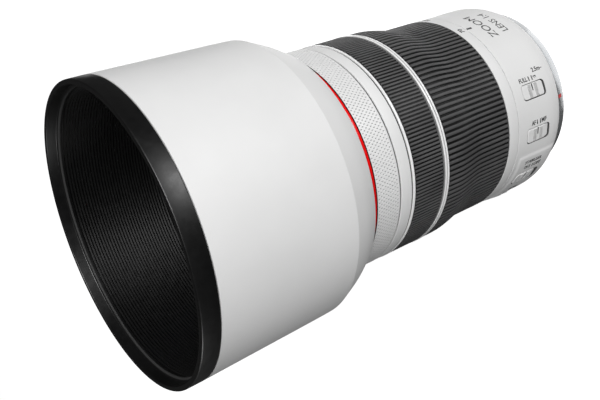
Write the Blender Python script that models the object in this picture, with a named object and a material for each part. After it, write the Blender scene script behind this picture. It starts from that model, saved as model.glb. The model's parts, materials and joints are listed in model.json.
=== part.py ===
"""Telephoto zoom lens with its round bayonet hood fitted, standing on its mount.

Metres, +Z up. The optical axis is the Z axis and +Z points out of the hood.
The origin is the centre of the bayonet's rear end. +Y is the top of the barrel,
where the focal-length index is, and +X is the side with the switches.
Sizes below are in millimetres and are scaled by MM where meshes are made.
"""
import math

import bmesh
import bpy
from mathutils import Matrix, Vector

MM = 0.001

# Facets round a large ring and round a small or inner piece
SEGMENTS = 36
INNER_SEGMENTS = 24

# Clearance between two neighbouring pieces
GAP = 0.3

# Stations along the axis
MOUNT_TAB_Z = (1.2, 2.8)
FLANGE_Z = 6.0
FLANGE_END_Z = 8.2
COVER_Z = 6.3
COVER_SHELF_Z = 8.5
COVER_END_Z = 12.0
BARREL_Z = 12.3
BARREL_FLOOR_Z = 14.3
BARREL_END_Z = 39.0
ZOOM_Z = 39.4
ZOOM_GRIP_Z = 44.8
ZOOM_END_Z = 79.8
WAIST_END_Z = 58.8
FRONT_START_Z = 74.0
DIVIDER_Z = 80.1
DIVIDER_END_Z = 82.1
FOCUS_Z = 82.4
FOCUS_END_Z = 96.4
TRIM_Z = 96.8
TRIM_END_Z = 97.7
MID_BAND_Z = 98.4
MID_BAND_END_Z = 103.2
CONTROL_Z = 103.8
CONTROL_END_Z = 114.1
GUIDE_END_Z = 114.3
RED_Z = 114.4
RED_END_Z = 116.0
FRONT_Z = 114.7
FILTER_Z = 116.4
THREAD_Z = 120.6
HOOD_LUG_Z = (121.0, 122.4)
LENS_FRONT_Z = 125.0
HOOD_Z = 116.3
HOOD_COLLAR_Z = 118.0
HOOD_TAB_Z = (118.4, 120.6)
HOOD_WAIST_Z = 123.2
HOOD_SHOULDER_Z = 130.8
HOOD_BODY_Z = 137.0
HOOD_BUTTON_Z = 125.0
LINER_Z = 133.4
HOOD_RIM_Z = 183.4
HOOD_STEP_Z = 186.0
HOOD_END_Z = 190.0

# Radii of the outer surfaces
BAYONET_R = 25.9
BAYONET_INNER_R = 24.0
MOUNT_TAB_RISE = 1.1
FLANGE_R = 33.2
SEAL_R = 35.2
REAR_R = 39.7
WAIST_R = 39.65
FRONT_R = 42.05
DIVIDER_R = 42.2
BAND_INNER_R = 40.3
RED_R = 41.3
FILTER_R = 40.6
FILTER_THREAD_R = 38.5
HOOD_LUG_RISE = 1.0
HOOD_INNER_R = 42.0
HOOD_REAR_R = 42.5
HOOD_COLLAR_R = 45.2
HOOD_WAIST_R = 48.3
HOOD_SHOULDER_R = 51.5
HOOD_BODY_R = 51.8
HOOD_R = 52.75
HOOD_WALL = 1.9
HOOD_BUTTON_R = 47.9
LINER_R = 49.8

# Nested sleeves, from the outside in
RING_INNER_R = 38.1
GUIDE_R = 37.8
GUIDE_INNER_R = 37.2
TUBE_R = 36.9
TUBE_INNER_R = 35.9
TUBE_Z = 46.6
FLANGE_TUBE_R = 40.0
CAM_R = 35.6
CAM_INNER_R = 34.9
CELL_R = 34.2
FRONT_CELL_INNER_R = 29.6

# Zoom: a turn of the ring moves the front barrel forward
ZOOM_TURN = 75.0
ZOOM_LIFT = 54.0
CAM_PIN_R = 1.3
CAM_PIN_Z = 49.0
CAM_PIN_ANGLES = (60.0, 180.0, 300.0)
SLOT_PLAY = 0.4
ZOOM_KEY_ANGLE = 200.0
ZOOM_KEY_Z = (41.0, 44.0)

# Iris
BLADES = 9
BLADE_THICKNESS = 0.3
BLADE_PITCH = 0.6
BLADE_Z = 60.3
IRIS_OPEN_R = 18.0
BLADE_PIVOT_R = 23.5

# Stabiliser and focusing group
STABILISER_Z = 49.9
FOCUS_CELL_Z = (25.0, 32.0)
ROD_R = 1.0
ROD_PLAY = 0.35
ROD_PLACE_R = 24.0
ROD_ANGLES = (60.0, 240.0)

# Sliding switches in pockets on the rear barrel: name, angle from the top, height
SWITCH_WIDTH = 6.3
SWITCH_LENGTH = 13.2
SWITCH_TRAVEL = 1.8
SWITCH_Z = 27.6
SWITCH_FLOOR_R = 38.9
SWITCH_TOP_R = 40.4
SWITCHES = (
    ("focus_limiter_knob", 49.0),
    ("af_mf_knob", 74.0),
    ("stabiliser_knob", 104.0),
    ("stabiliser_mode_knob", 129.0),
    ("zoom_lock_knob", 270.0),
)

# Bayonets
MOUNT_TAB_ANGLES = (30.0, 150.0, 270.0)
MOUNT_TAB_SPAN = 40.0
MOUNT_SCREW_R = 30.0
MOUNT_SCREW_ANGLES = (45.0, 135.0, 225.0, 315.0)
HOOD_TAB_ANGLES = (30.0, 150.0, 270.0)
HOOD_TAB_SPAN = 40.0
HOOD_BUTTON_ANGLE = 210.0
HOOD_BUTTON_SIZE = (12.0, 4.6, 5.0)

# Paint, plastic, metal and glass: base colour, roughness, metallic value
FINISHES = {
    "white_paint": ((0.78, 0.78, 0.76), 0.42, 0.0),
    "grey_ring": ((0.20, 0.20, 0.20), 0.45, 0.0),
    "black_rubber": ((0.020, 0.020, 0.022), 0.75, 0.0),
    "black_plastic": ((0.018, 0.018, 0.020), 0.50, 0.0),
    "knurled_grey": ((0.58, 0.58, 0.57), 0.50, 0.0),
    "bright_trim": ((0.75, 0.75, 0.75), 0.25, 1.0),
    "red_band": ((0.62, 0.010, 0.010), 0.25, 0.0),
    "mount_chrome": ((0.72, 0.71, 0.69), 0.22, 1.0),
    "steel": ((0.60, 0.60, 0.60), 0.30, 1.0),
    "gold_contact": ((0.83, 0.60, 0.25), 0.25, 1.0),
    "aluminium": ((0.62, 0.63, 0.64), 0.38, 1.0),
    "board": ((0.02, 0.13, 0.06), 0.50, 0.0),
    "lens_glass": ((0.75, 0.80, 0.85), 0.05, 0.0),
}


def clear_scene():
    for item in list(bpy.data.objects):
        bpy.data.objects.remove(item, do_unlink=True)


def finish_material(slot):
    """The material of one finish, made once."""
    if slot in bpy.data.materials:
        return bpy.data.materials[slot]
    colour, roughness, metallic = FINISHES[slot]
    material = bpy.data.materials.new(slot)
    material.use_nodes = True
    shader = material.node_tree.nodes["Principled BSDF"]
    shader.inputs["Base Color"].default_value = (*colour, 1.0)
    shader.inputs["Roughness"].default_value = roughness
    shader.inputs["Metallic"].default_value = metallic
    if slot == "lens_glass":
        shader.inputs["Transmission Weight"].default_value = 0.9
    return material


def assembly(name, place=(0.0, 0.0, 0.0), parent=None):
    """An empty that carries the pieces of one moving group."""
    empty = bpy.data.objects.new(name, None)
    bpy.context.collection.objects.link(empty)
    empty.location = Vector(place) * MM
    empty.parent = parent
    return empty


def direction(angle):
    """Unit vector at an angle from the top of the barrel towards the switches."""
    turn = math.radians(angle)
    return Vector((math.sin(turn), math.cos(turn), 0.0))


def to_object(name, mesh_data, slot, parent, smooth=True):
    """Make an object from a bmesh, with its faces pointing out."""
    bmesh.ops.recalc_face_normals(mesh_data, faces=mesh_data.faces)
    mesh = bpy.data.meshes.new(name)
    mesh_data.to_mesh(mesh)
    mesh_data.free()
    if smooth:
        mesh.shade_smooth()
        mesh.set_sharp_from_angle(angle=math.radians(32.0))
    piece = bpy.data.objects.new(name, mesh)
    bpy.context.collection.objects.link(piece)
    piece.parent = parent
    if slot:
        mesh.materials.append(finish_material(slot))
    return piece


def ring_rows(mesh_data, outline, segments):
    """One row of points round the axis for each outline point (radius, height)."""
    rows = []
    for radius, height in outline:
        row = []
        for step in range(segments):
            spot = direction(360.0 * step / segments) * radius
            spot.z = height
            row.append(mesh_data.verts.new(spot * MM))
        rows.append(row)
    return rows


def bridge(mesh_data, first, second):
    count = len(first)
    for step in range(count):
        after = (step + 1) % count
        mesh_data.faces.new((first[step], first[after], second[after], second[step]))


def turned_mesh(outline, segments=SEGMENTS):
    """A ring turned round the axis from a closed outline of (radius, height)."""
    mesh_data = bmesh.new()
    rows = ring_rows(mesh_data, outline, segments)
    for index, row in enumerate(rows):
        bridge(mesh_data, row, rows[(index + 1) % len(rows)])
    return mesh_data


def turned(name, outline, slot, parent, segments=SEGMENTS):
    return to_object(name, turned_mesh(outline, segments), slot, parent)


def raise_tabs(mesh_data, heights, angles, span, rise, radius):
    """Extrude the wall between two heights, in sectors, by a radial rise."""
    low, high = heights
    bmesh.ops.recalc_face_normals(mesh_data, faces=mesh_data.faces)
    for angle in angles:
        chosen = []
        for face in mesh_data.faces:
            centre = face.calc_center_median() / MM
            at_radius = abs(Vector((centre.x, centre.y)).length - radius) < 0.6
            upright = abs(face.normal.z) < 0.1
            inside = low < centre.z < high
            toward = direction(angle).angle(Vector((centre.x, centre.y, 0.0)))
            if at_radius and upright and inside and math.degrees(toward) < span / 2:
                chosen.append(face)
        grown = bmesh.ops.extrude_face_region(mesh_data, geom=chosen)
        bmesh.ops.delete(mesh_data, geom=chosen, context="FACES")
        for item in grown["geom"]:
            if isinstance(item, bmesh.types.BMVert):
                flat = Vector((item.co.x, item.co.y, 0.0))
                item.co += flat.normalized() * rise * MM


def sector_mesh(radii, heights, start, end, steps):
    """A block bent round the axis, between two angles."""
    mesh_data = bmesh.new()
    inner, outer = radii
    low, high = heights
    rows = []
    for step in range(steps + 1):
        spoke = direction(start + (end - start) * step / steps)
        row = []
        for radius, height in ((inner, low), (outer, low), (outer, high), (inner, high)):
            spot = spoke * radius
            spot.z = height
            row.append(mesh_data.verts.new(spot * MM))
        rows.append(row)
    for first, second in zip(rows, rows[1:]):
        bridge(mesh_data, first, second)
    mesh_data.faces.new(rows[0])
    mesh_data.faces.new(rows[-1])
    return mesh_data


def sector(name, radii, heights, start, end, steps, slot, parent):
    return to_object(name, sector_mesh(radii, heights, start, end, steps), slot, parent, False)


def lens_element(name, radius, edge, sags, parent, steps=2):
    """A glass element: its rim runs between two heights and both faces are domed."""
    mesh_data = bmesh.new()
    low, high = edge
    back_sag, front_sag = sags
    outline = []
    for step in range(1, steps + 1):
        part = step / steps
        outline.append((radius * part, low - back_sag * (1 - part * part)))
    for step in range(steps, 0, -1):
        part = step / steps
        outline.append((radius * part, high + front_sag * (1 - part * part)))
    rows = ring_rows(mesh_data, outline, INNER_SEGMENTS)
    for first, second in zip(rows, rows[1:]):
        bridge(mesh_data, first, second)
    for row, height in ((rows[0], low - back_sag), (rows[-1], high + front_sag)):
        pole = mesh_data.verts.new(Vector((0.0, 0.0, height)) * MM)
        for step in range(INNER_SEGMENTS):
            mesh_data.faces.new((row[step], row[(step + 1) % INNER_SEGMENTS], pole))
    return to_object(name, mesh_data, "lens_glass", parent)


def rod_mesh(radius, heights, sides=12):
    """A round bar along the local Z axis, from steps of (radius, height)."""
    mesh_data = bmesh.new()
    low, high = heights
    rows = ring_rows(mesh_data, ((radius, low), (radius, high)), sides)
    bridge(mesh_data, rows[0], rows[1])
    mesh_data.faces.new(rows[0])
    mesh_data.faces.new(rows[1])
    return mesh_data


def block_mesh(size):
    """A box centred on the local origin: across the barrel, outward, along it."""
    mesh_data = bmesh.new()
    bmesh.ops.create_cube(mesh_data, size=1.0)
    bmesh.ops.scale(mesh_data, vec=Vector(size) * MM, verts=mesh_data.verts)
    return mesh_data


def round_edges(piece, width):
    bevel = piece.modifiers.new("round_edges", "BEVEL")
    bevel.width = width * MM
    bevel.segments = 1
    bevel.limit_method = "ANGLE"


def place_outward(piece, angle, radius, height):
    """Put a piece on the barrel with its local Y axis pointing outward."""
    spot = direction(angle) * radius
    spot.z = height
    piece.location = spot * MM
    piece.rotation_euler = (0.0, 0.0, -math.radians(angle))


def cut(piece, cutter):
    """Take the cutter's shape out of a piece and hide the cutter."""
    cutter.hide_render = True
    cutter.display_type = "WIRE"
    boolean = piece.modifiers.new("cut_" + cutter.name, "BOOLEAN")
    boolean.operation = "DIFFERENCE"
    boolean.solver = "EXACT"
    boolean.object = cutter


def helix_mesh(start_angle, half_width, radii, bottom, lift, turn, steps=12):
    """A helical slot cutter that rises by lift while it turns about the axis."""
    mesh_data = bmesh.new()
    inner, outer = radii
    arc = math.radians(turn) * (inner + outer) / 2
    side = half_width * math.hypot(lift, arc) / lift
    rows = []
    for step in range(-1, steps + 2):
        part = min(max(step / steps, 0.0), 1.0)
        over = half_width if step > steps else (-half_width if step < 0 else 0.0)
        height = bottom + lift * part + over
        spoke = direction(start_angle - turn * (part + over / lift))
        row = []
        for radius, shift in ((inner, -side), (outer, -side), (outer, side), (inner, side)):
            tangent = Vector((spoke.y, -spoke.x, 0.0))
            spot = spoke * radius + tangent * shift
            spot.z = height
            row.append(mesh_data.verts.new(spot * MM))
        rows.append(row)
    for first, second in zip(rows, rows[1:]):
        bridge(mesh_data, first, second)
    mesh_data.faces.new(rows[0])
    mesh_data.faces.new(rows[-1])
    return mesh_data


# ---- Mount and rear barrel -------------------------------------------------


def make_bayonet_mount(parent):
    """Chrome flange with the bayonet tube and its three tabs."""
    outline = (
        (BAYONET_R, 0.0),
        (BAYONET_R, MOUNT_TAB_Z[0]),
        (BAYONET_R, MOUNT_TAB_Z[1]),
        (BAYONET_R, FLANGE_Z),
        (FLANGE_R, FLANGE_Z),
        (FLANGE_R, FLANGE_END_Z),
        (BAYONET_INNER_R, FLANGE_END_Z),
        (BAYONET_INNER_R, 0.0),
    )
    mesh_data = turned_mesh(outline)
    raise_tabs(mesh_data, MOUNT_TAB_Z, MOUNT_TAB_ANGLES, MOUNT_TAB_SPAN, MOUNT_TAB_RISE, BAYONET_R)
    mount = to_object("bayonet_mount", mesh_data, "mount_chrome", parent)
    for index, angle in enumerate(MOUNT_SCREW_ANGLES, start=1):
        hole = to_object(f"flange_hole_{index}", rod_mesh(1.8, (5.0, 9.0)), None, parent)
        hole.location = direction(angle) * MOUNT_SCREW_R * MM
        cut(mount, hole)
        make_mount_screw(index, angle, parent)
    return mount


def make_mount_screw(index, angle, parent):
    """Screw with a flat head and a thinner shank."""
    mesh_data = bmesh.new()
    outline = ((1.45, 6.15), (1.45, 7.3), (0.8, 7.3), (0.8, 13.6))
    rows = ring_rows(mesh_data, outline, 12)
    for first, second in zip(rows, rows[1:]):
        bridge(mesh_data, first, second)
    mesh_data.faces.new(rows[0])
    mesh_data.faces.new(rows[-1])
    screw = to_object(f"mount_screw_{index}", mesh_data, "steel", parent)
    screw.location = direction(angle) * MOUNT_SCREW_R * MM


def make_mount_rings(parent):
    """Rubber seal round the flange, and the grey ring that covers the joint."""
    low, high = FLANGE_Z - GAP, FLANGE_END_Z - GAP
    inner = FLANGE_R + GAP
    seal = ((inner, low), (SEAL_R, low), (SEAL_R, high), (inner, high))
    turned("mount_seal", seal, "black_rubber", parent)
    inner = SEAL_R + GAP
    cover = (
        (inner, COVER_Z),
        (35.9, COVER_Z),
        (37.7, COVER_END_Z),
        (34.0, COVER_END_Z),
        (34.0, COVER_SHELF_Z),
        (inner, COVER_SHELF_Z),
    )
    turned("mount_cover_ring", cover, "grey_ring", parent)


def make_rear_barrel(parent):
    """White rear casing, with pockets for the sliding switches."""
    outline = (
        (38.0, BARREL_Z),
        (39.5, 15.5),
        (40.0, 20.0),
        (REAR_R, 31.0),
        (REAR_R, BARREL_END_Z),
        (RING_INNER_R, BARREL_END_Z),
        (RING_INNER_R, BARREL_FLOOR_Z),
        (28.0, BARREL_FLOOR_Z),
        (28.0, BARREL_Z),
    )
    barrel = turned("rear_barrel", outline, "white_paint", parent)
    for name, angle in SWITCHES:
        pocket = to_object(
            "pocket_" + name,
            block_mesh((SWITCH_WIDTH, 4.0, SWITCH_LENGTH)),
            None,
            parent,
        )
        place_outward(pocket, angle, SWITCH_FLOOR_R + 2.0, SWITCH_Z)
        cut(barrel, pocket)
    for index, angle in enumerate(MOUNT_SCREW_ANGLES, start=1):
        hole = to_object(f"screw_hole_{index}", rod_mesh(1.15, (11.0, 16.0)), None, parent)
        hole.location = direction(angle) * MOUNT_SCREW_R * MM
        cut(barrel, hole)


def make_switches(parent):
    """One sliding knob in each pocket, at the end of its travel."""
    length = SWITCH_LENGTH - SWITCH_TRAVEL - 2 * GAP
    width = SWITCH_WIDTH - 2 * GAP
    bottom = SWITCH_FLOOR_R + GAP
    for name, angle in SWITCHES:
        knob = to_object(
            name,
            block_mesh((width, SWITCH_TOP_R - bottom, length)),
            "white_paint",
            parent,
            False,
        )
        height = SWITCH_Z + SWITCH_TRAVEL / 2
        place_outward(knob, angle, (SWITCH_TOP_R + bottom) / 2, height)
        round_edges(knob, 0.25)


def make_contacts(parent):
    """Curved contact block inside the bayonet, and its strip of gold pins."""
    sector("contact_block", (20.6, 23.6), (1.3, 5.0), 148.0, 212.0, 6, "black_plastic", parent)
    mesh_data = sector_mesh((21.6, 22.6), (0.75, 1.0), 152.0, 208.0, 23)
    bmesh.ops.recalc_face_normals(mesh_data, faces=mesh_data.faces)
    low_faces = [face for face in mesh_data.faces if face.normal.z < -0.9]
    low_faces.sort(key=lambda face: face.calc_center_median().x)
    for face in low_faces[::2]:
        grown = bmesh.ops.extrude_face_region(mesh_data, geom=[face])
        bmesh.ops.delete(mesh_data, geom=[face], context="FACES")
        for item in grown["geom"]:
            if isinstance(item, bmesh.types.BMVert):
                item.co.z -= 0.45 * MM
    to_object("contact_strip", mesh_data, "gold_contact", parent, False)


def make_rear_optics(parent):
    """Rear lens cell with its element."""
    cell = ((15.2, 4.0), (20.2, 4.0), (20.2, 22.0), (16.6, 22.0), (16.6, 5.2), (15.2, 5.2))
    turned("rear_cell", cell, "black_plastic", parent, INNER_SEGMENTS)
    lens_element("rear_element", 16.1, (8.0, 13.0), (2.2, 2.0), parent)


def make_electronics(parent):
    """Main circuit board round the rear, and the linear focus motor."""
    sector("circuit_board", (22.5, 27.2), (10.0, 11.2), -150.0, 150.0, 20, "board", parent)
    motor = to_object("focus_motor", block_mesh((14.0, 6.0, 18.0)), "black_plastic", parent, False)
    place_outward(motor, 150.0, 29.5, 36.0)
    round_edges(motor, 0.8)


# ---- Fixed sleeves and trim rings ------------------------------------------


def make_guide_barrel(parent):
    """Fixed sleeve with three straight slots and the slot of the zoom key."""
    outline = (
        (GUIDE_INNER_R, BARREL_FLOOR_Z + GAP),
        (GUIDE_R, BARREL_FLOOR_Z + GAP),
        (GUIDE_R, MID_BAND_Z),
        (FLANGE_TUBE_R, MID_BAND_Z),
        (FLANGE_TUBE_R, GUIDE_END_Z),
        (GUIDE_INNER_R, GUIDE_END_Z),
    )
    barrel = turned("guide_barrel", outline, "aluminium", parent)
    half = CAM_PIN_R + SLOT_PLAY
    length = ZOOM_LIFT + 2 * half
    for index, angle in enumerate(CAM_PIN_ANGLES, start=1):
        cutter = to_object(
            f"straight_slot_{index}",
            block_mesh((2 * half, 3.2, length)),
            None,
            parent,
        )
        place_outward(cutter, angle, 36.6, CAM_PIN_Z - half + length / 2)
        cut(barrel, cutter)
    slot = sector_mesh(
        (36.0, 39.0),
        (ZOOM_KEY_Z[0] - 0.5, ZOOM_KEY_Z[1] + 0.5),
        ZOOM_KEY_ANGLE - 6.0,
        ZOOM_KEY_ANGLE + 6.0 + ZOOM_TURN,
        10,
    )
    cut(barrel, to_object("key_slot", slot, None, parent))


def make_fixed_trim(parent):
    """White band behind the control ring, and the two bright trim rings."""
    band = (
        (BAND_INNER_R, MID_BAND_Z),
        (FRONT_R, MID_BAND_Z),
        (FRONT_R, MID_BAND_END_Z),
        (BAND_INNER_R, MID_BAND_END_Z),
    )
    turned("mid_band", band, "white_paint", parent)
    trim = (
        (RING_INNER_R, TRIM_Z),
        (FRONT_R, TRIM_Z),
        (FRONT_R, TRIM_END_Z),
        (RING_INNER_R, TRIM_END_Z),
    )
    turned("focus_trim_ring", trim, "bright_trim", parent)
    divider = (
        (RING_INNER_R, DIVIDER_Z),
        (DIVIDER_R, DIVIDER_Z),
        (DIVIDER_R, DIVIDER_END_Z),
        (RING_INNER_R, DIVIDER_END_Z),
    )
    turned("divider_ring", divider, "bright_trim", parent)


# ---- Zoom, focus and control rings ------------------------------------------


def waist_radius(height, low, high):
    """Radius of the zoom grip: a smooth rise from the waist to the front."""
    part = (height - WAIST_END_Z) / (FRONT_START_Z - WAIST_END_Z)
    part = min(max(part, 0.0), 1.0)
    return low + (high - low) * part * part * (3 - 2 * part)


def make_zoom_ring(parent):
    """Zoom ring with its number band, and the ribbed rubber grip on it."""
    body = (
        (RING_INNER_R, ZOOM_Z),
        (REAR_R, ZOOM_Z),
        (REAR_R, ZOOM_GRIP_Z - GAP),
        (38.6, ZOOM_GRIP_Z - GAP),
        (38.6, 62.0),
        (40.9, 75.5),
        (40.9, ZOOM_END_Z),
        (RING_INNER_R, ZOOM_END_Z),
    )
    turned("zoom_ring", body, "white_paint", parent)
    heights = (ZOOM_GRIP_Z, 60.0, 64.5, 69.5, FRONT_START_Z, ZOOM_END_Z - 0.2)
    grip = [(waist_radius(height, WAIST_R, FRONT_R), height) for height in heights]
    grip += [(41.25, heights[-1]), (41.25, 75.3), (38.95, 61.8), (38.95, heights[0])]
    turned("zoom_grip", grip, "black_rubber", parent)


def make_cam_barrel(parent):
    """Sleeve with three helical cam slots, and the key that turns it."""
    outline = ((CAM_INNER_R, 16.6), (CAM_R, 16.6), (CAM_R, 106.5), (CAM_INNER_R, 106.5))
    barrel = turned("cam_barrel", outline, "aluminium", parent)
    half = CAM_PIN_R + SLOT_PLAY
    for index, angle in enumerate(CAM_PIN_ANGLES, start=1):
        cutter = helix_mesh(angle, half, (34.0, 36.5), CAM_PIN_Z, ZOOM_LIFT, ZOOM_TURN)
        cut(barrel, to_object(f"cam_slot_{index}", cutter, None, parent))
    sector(
        "zoom_key",
        (CAM_R + GAP, GUIDE_R),
        ZOOM_KEY_Z,
        ZOOM_KEY_ANGLE - 3.0,
        ZOOM_KEY_ANGLE + 3.0,
        1,
        "steel",
        parent,
    )


def make_focus_ring(parent):
    """Manual focus ring and its fine-ribbed rubber grip."""
    body = (
        (RING_INNER_R, FOCUS_Z),
        (40.6, FOCUS_Z),
        (40.6, FOCUS_END_Z),
        (RING_INNER_R, FOCUS_END_Z),
    )
    turned("focus_ring", body, "aluminium", parent)
    low, high = FOCUS_Z + 0.1, FOCUS_END_Z - 0.1
    grip = ((40.9, low), (FRONT_R, low), (FRONT_R, high), (40.9, high))
    turned("focus_grip", grip, "black_rubber", parent)


def make_control_ring(parent):
    """Knurled ring with click stops."""
    outline = (
        (BAND_INNER_R, CONTROL_Z),
        (FRONT_R, CONTROL_Z),
        (FRONT_R, CONTROL_END_Z),
        (BAND_INNER_R, CONTROL_END_Z),
    )
    turned("control_ring", outline, "knurled_grey", parent)


# ---- Front barrel, which extends ---------------------------------------------


def make_front_barrel(parent):
    """Extension tube with its cam pins, front flange and red band."""
    outline = (
        (TUBE_INNER_R, TUBE_Z),
        (TUBE_R, TUBE_Z),
        (TUBE_R, FRONT_Z),
        (FLANGE_TUBE_R, FRONT_Z),
        (FLANGE_TUBE_R, FILTER_Z - GAP),
        (TUBE_INNER_R, FILTER_Z - GAP),
    )
    barrel = turned("front_barrel", outline, "white_paint", parent)
    for index, angle in enumerate(CAM_PIN_ANGLES, start=1):
        reach = (CAM_INNER_R + 0.05, GUIDE_R - 0.1)
        pin = to_object(f"cam_pin_{index}", rod_mesh(CAM_PIN_R, reach, 8), None, parent)
        spoke = direction(angle)
        pin.rotation_euler = spoke.to_track_quat("Z", "Y").to_euler()
        pin.location = Vector((0.0, 0.0, CAM_PIN_Z)) * MM
        join = barrel.modifiers.new(f"join_pin_{index}", "BOOLEAN")
        join.operation = "UNION"
        join.solver = "EXACT"
        join.object = pin
        pin.hide_render = True
        pin.display_type = "WIRE"
    red = (
        (BAND_INNER_R, RED_Z),
        (RED_R, RED_Z),
        (RED_R, RED_END_Z),
        (BAND_INNER_R, RED_END_Z),
    )
    turned("red_band", red, "red_band", parent)


def make_filter_ring(parent):
    """Black front ring: filter thread inside, hood bayonet lugs outside."""
    outline = (
        (FILTER_R, FILTER_Z),
        (FILTER_R, HOOD_LUG_Z[0]),
        (FILTER_R, HOOD_LUG_Z[1]),
        (FILTER_R, LENS_FRONT_Z),
        (FILTER_THREAD_R, LENS_FRONT_Z),
        (FILTER_THREAD_R, THREAD_Z),
        (37.2, THREAD_Z),
        (37.2, FILTER_Z),
    )
    mesh_data = turned_mesh(outline)
    raise_tabs(mesh_data, HOOD_LUG_Z, HOOD_TAB_ANGLES, HOOD_TAB_SPAN, HOOD_LUG_RISE, FILTER_R)
    to_object("filter_ring", mesh_data, "black_plastic", parent)


def make_front_optics(parent):
    """Front cell, its large element and the flat ring round it."""
    inner = FRONT_CELL_INNER_R
    cell = ((inner, 107.0), (35.5, 107.0), (35.5, 120.4), (inner, 120.4))
    turned("front_cell", cell, "black_plastic", parent, INNER_SEGMENTS)
    low = THREAD_Z + GAP
    name_ring = ((inner, low), (38.1, low), (38.1, low + 1.0), (inner, low + 0.5))
    turned("name_ring", name_ring, "black_plastic", parent)
    lens_element("front_element", 29.0, (111.0, 116.5), (1.5, 4.0), parent)


# ---- Groups inside -------------------------------------------------------------


def make_variator(parent):
    """Zooming group between the front group and the iris."""
    cell = ((22.4, 76.0), (CELL_R, 76.0), (CELL_R, 82.0), (22.4, 82.0))
    turned("variator_cell", cell, "black_plastic", parent, INNER_SEGMENTS)
    lens_element("variator_element", 21.8, (77.5, 80.5), (0.8, 1.2), parent)


def make_iris(fixed, ring_parent):
    """Housing of the iris and the stabiliser, and the ring that drives the blades."""
    housing = (
        (16.0, 47.6),
        (CELL_R, 47.6),
        (CELL_R, 66.0),
        (32.2, 66.0),
        (32.2, 59.9),
        (IRIS_OPEN_R, 59.9),
        (IRIS_OPEN_R, 58.9),
        (32.2, 58.9),
        (32.2, 49.0),
        (16.0, 49.0),
    )
    turned("iris_housing", housing, "black_plastic", fixed, INNER_SEGMENTS)
    ring = ((IRIS_OPEN_R + 0.6, 66.1), (31.0, 66.1), (31.0, 67.3), (IRIS_OPEN_R + 0.6, 67.3))
    turned("iris_ring", ring, "black_plastic", ring_parent, INNER_SEGMENTS)


def blade_outline(steps=5, reach=76.0):
    """A crescent round the open iris, from its pivot end to its thin tail."""
    inner, outer = [], []
    for step in range(steps + 1):
        part = step / steps
        turn = math.radians(-6.0 + (reach + 6.0) * part)
        spoke = Vector((math.cos(turn), math.sin(turn), 0.0))
        inner.append(spoke * (IRIS_OPEN_R + 0.3))
        outer.append(spoke * (IRIS_OPEN_R + 9.5 - 5.5 * part))
    return inner + outer[::-1]


def make_blades(parent):
    """Nine blades, each on its own pivot and at its own level."""
    pivot = Vector((BLADE_PIVOT_R, 0.0, 0.0))
    for index in range(BLADES):
        mesh_data = bmesh.new()
        low = [mesh_data.verts.new((spot - pivot) * MM) for spot in blade_outline()]
        face = mesh_data.faces.new(low)
        grown = bmesh.ops.extrude_face_region(mesh_data, geom=[face])
        for item in grown["geom"]:
            if isinstance(item, bmesh.types.BMVert):
                item.co.z += BLADE_THICKNESS * MM
        blade = to_object(f"iris_blade_{index + 1}", mesh_data, "steel", parent, False)
        turn = 2 * math.pi * index / BLADES
        blade.location = Matrix.Rotation(turn, 3, "Z") @ pivot * MM
        blade.location.z = (BLADE_Z + BLADE_PITCH * index) * MM
        blade.rotation_euler = (0.0, 0.0, turn)


def make_stabiliser(frame_parent, carriage_parent):
    """Frame that shifts across, and the carriage that shifts along it."""
    low = STABILISER_Z
    frame = ((19.0, low), (29.0, low), (29.0, low + 1.5), (19.0, low + 1.5))
    turned("stabiliser_frame", frame, "aluminium", frame_parent, INNER_SEGMENTS)
    low += 1.9
    carriage = ((15.6, low), (28.0, low), (28.0, low + 4.0), (15.6, low + 4.0))
    turned("stabiliser_carriage", carriage, "black_plastic", carriage_parent, INNER_SEGMENTS)
    lens_element("stabiliser_element", 15.0, (low + 0.6, low + 3.4), (0.6, 0.9), carriage_parent)


def make_focus_group(fixed, parent):
    """Focusing cell on two rods, with its element."""
    low, high = FOCUS_CELL_Z
    mesh_data = turned_mesh(((15.8, low), (20.0, low), (20.0, high), (15.8, high)), INNER_SEGMENTS)
    raise_tabs(mesh_data, (low, high), ROD_ANGLES, 30.0, 7.0, 20.0)
    cell = to_object("focus_cell", mesh_data, "black_plastic", parent)
    lens_element("focus_element", 15.2, (low + 2.2, high - 2.2), (0.8, -0.6), parent)
    for index, angle in enumerate(ROD_ANGLES, start=1):
        place = direction(angle) * ROD_PLACE_R * MM
        bore = rod_mesh(ROD_R + ROD_PLAY, (low - 1.0, high + 1.0))
        hole = to_object(f"rod_hole_{index}", bore, None, parent)
        hole.location = place
        cut(cell, hole)
        rod = to_object(f"focus_rod_{index}", rod_mesh(ROD_R, (22.5, 47.2)), "steel", fixed)
        rod.location = place


# ---- Hood -----------------------------------------------------------------------


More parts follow.
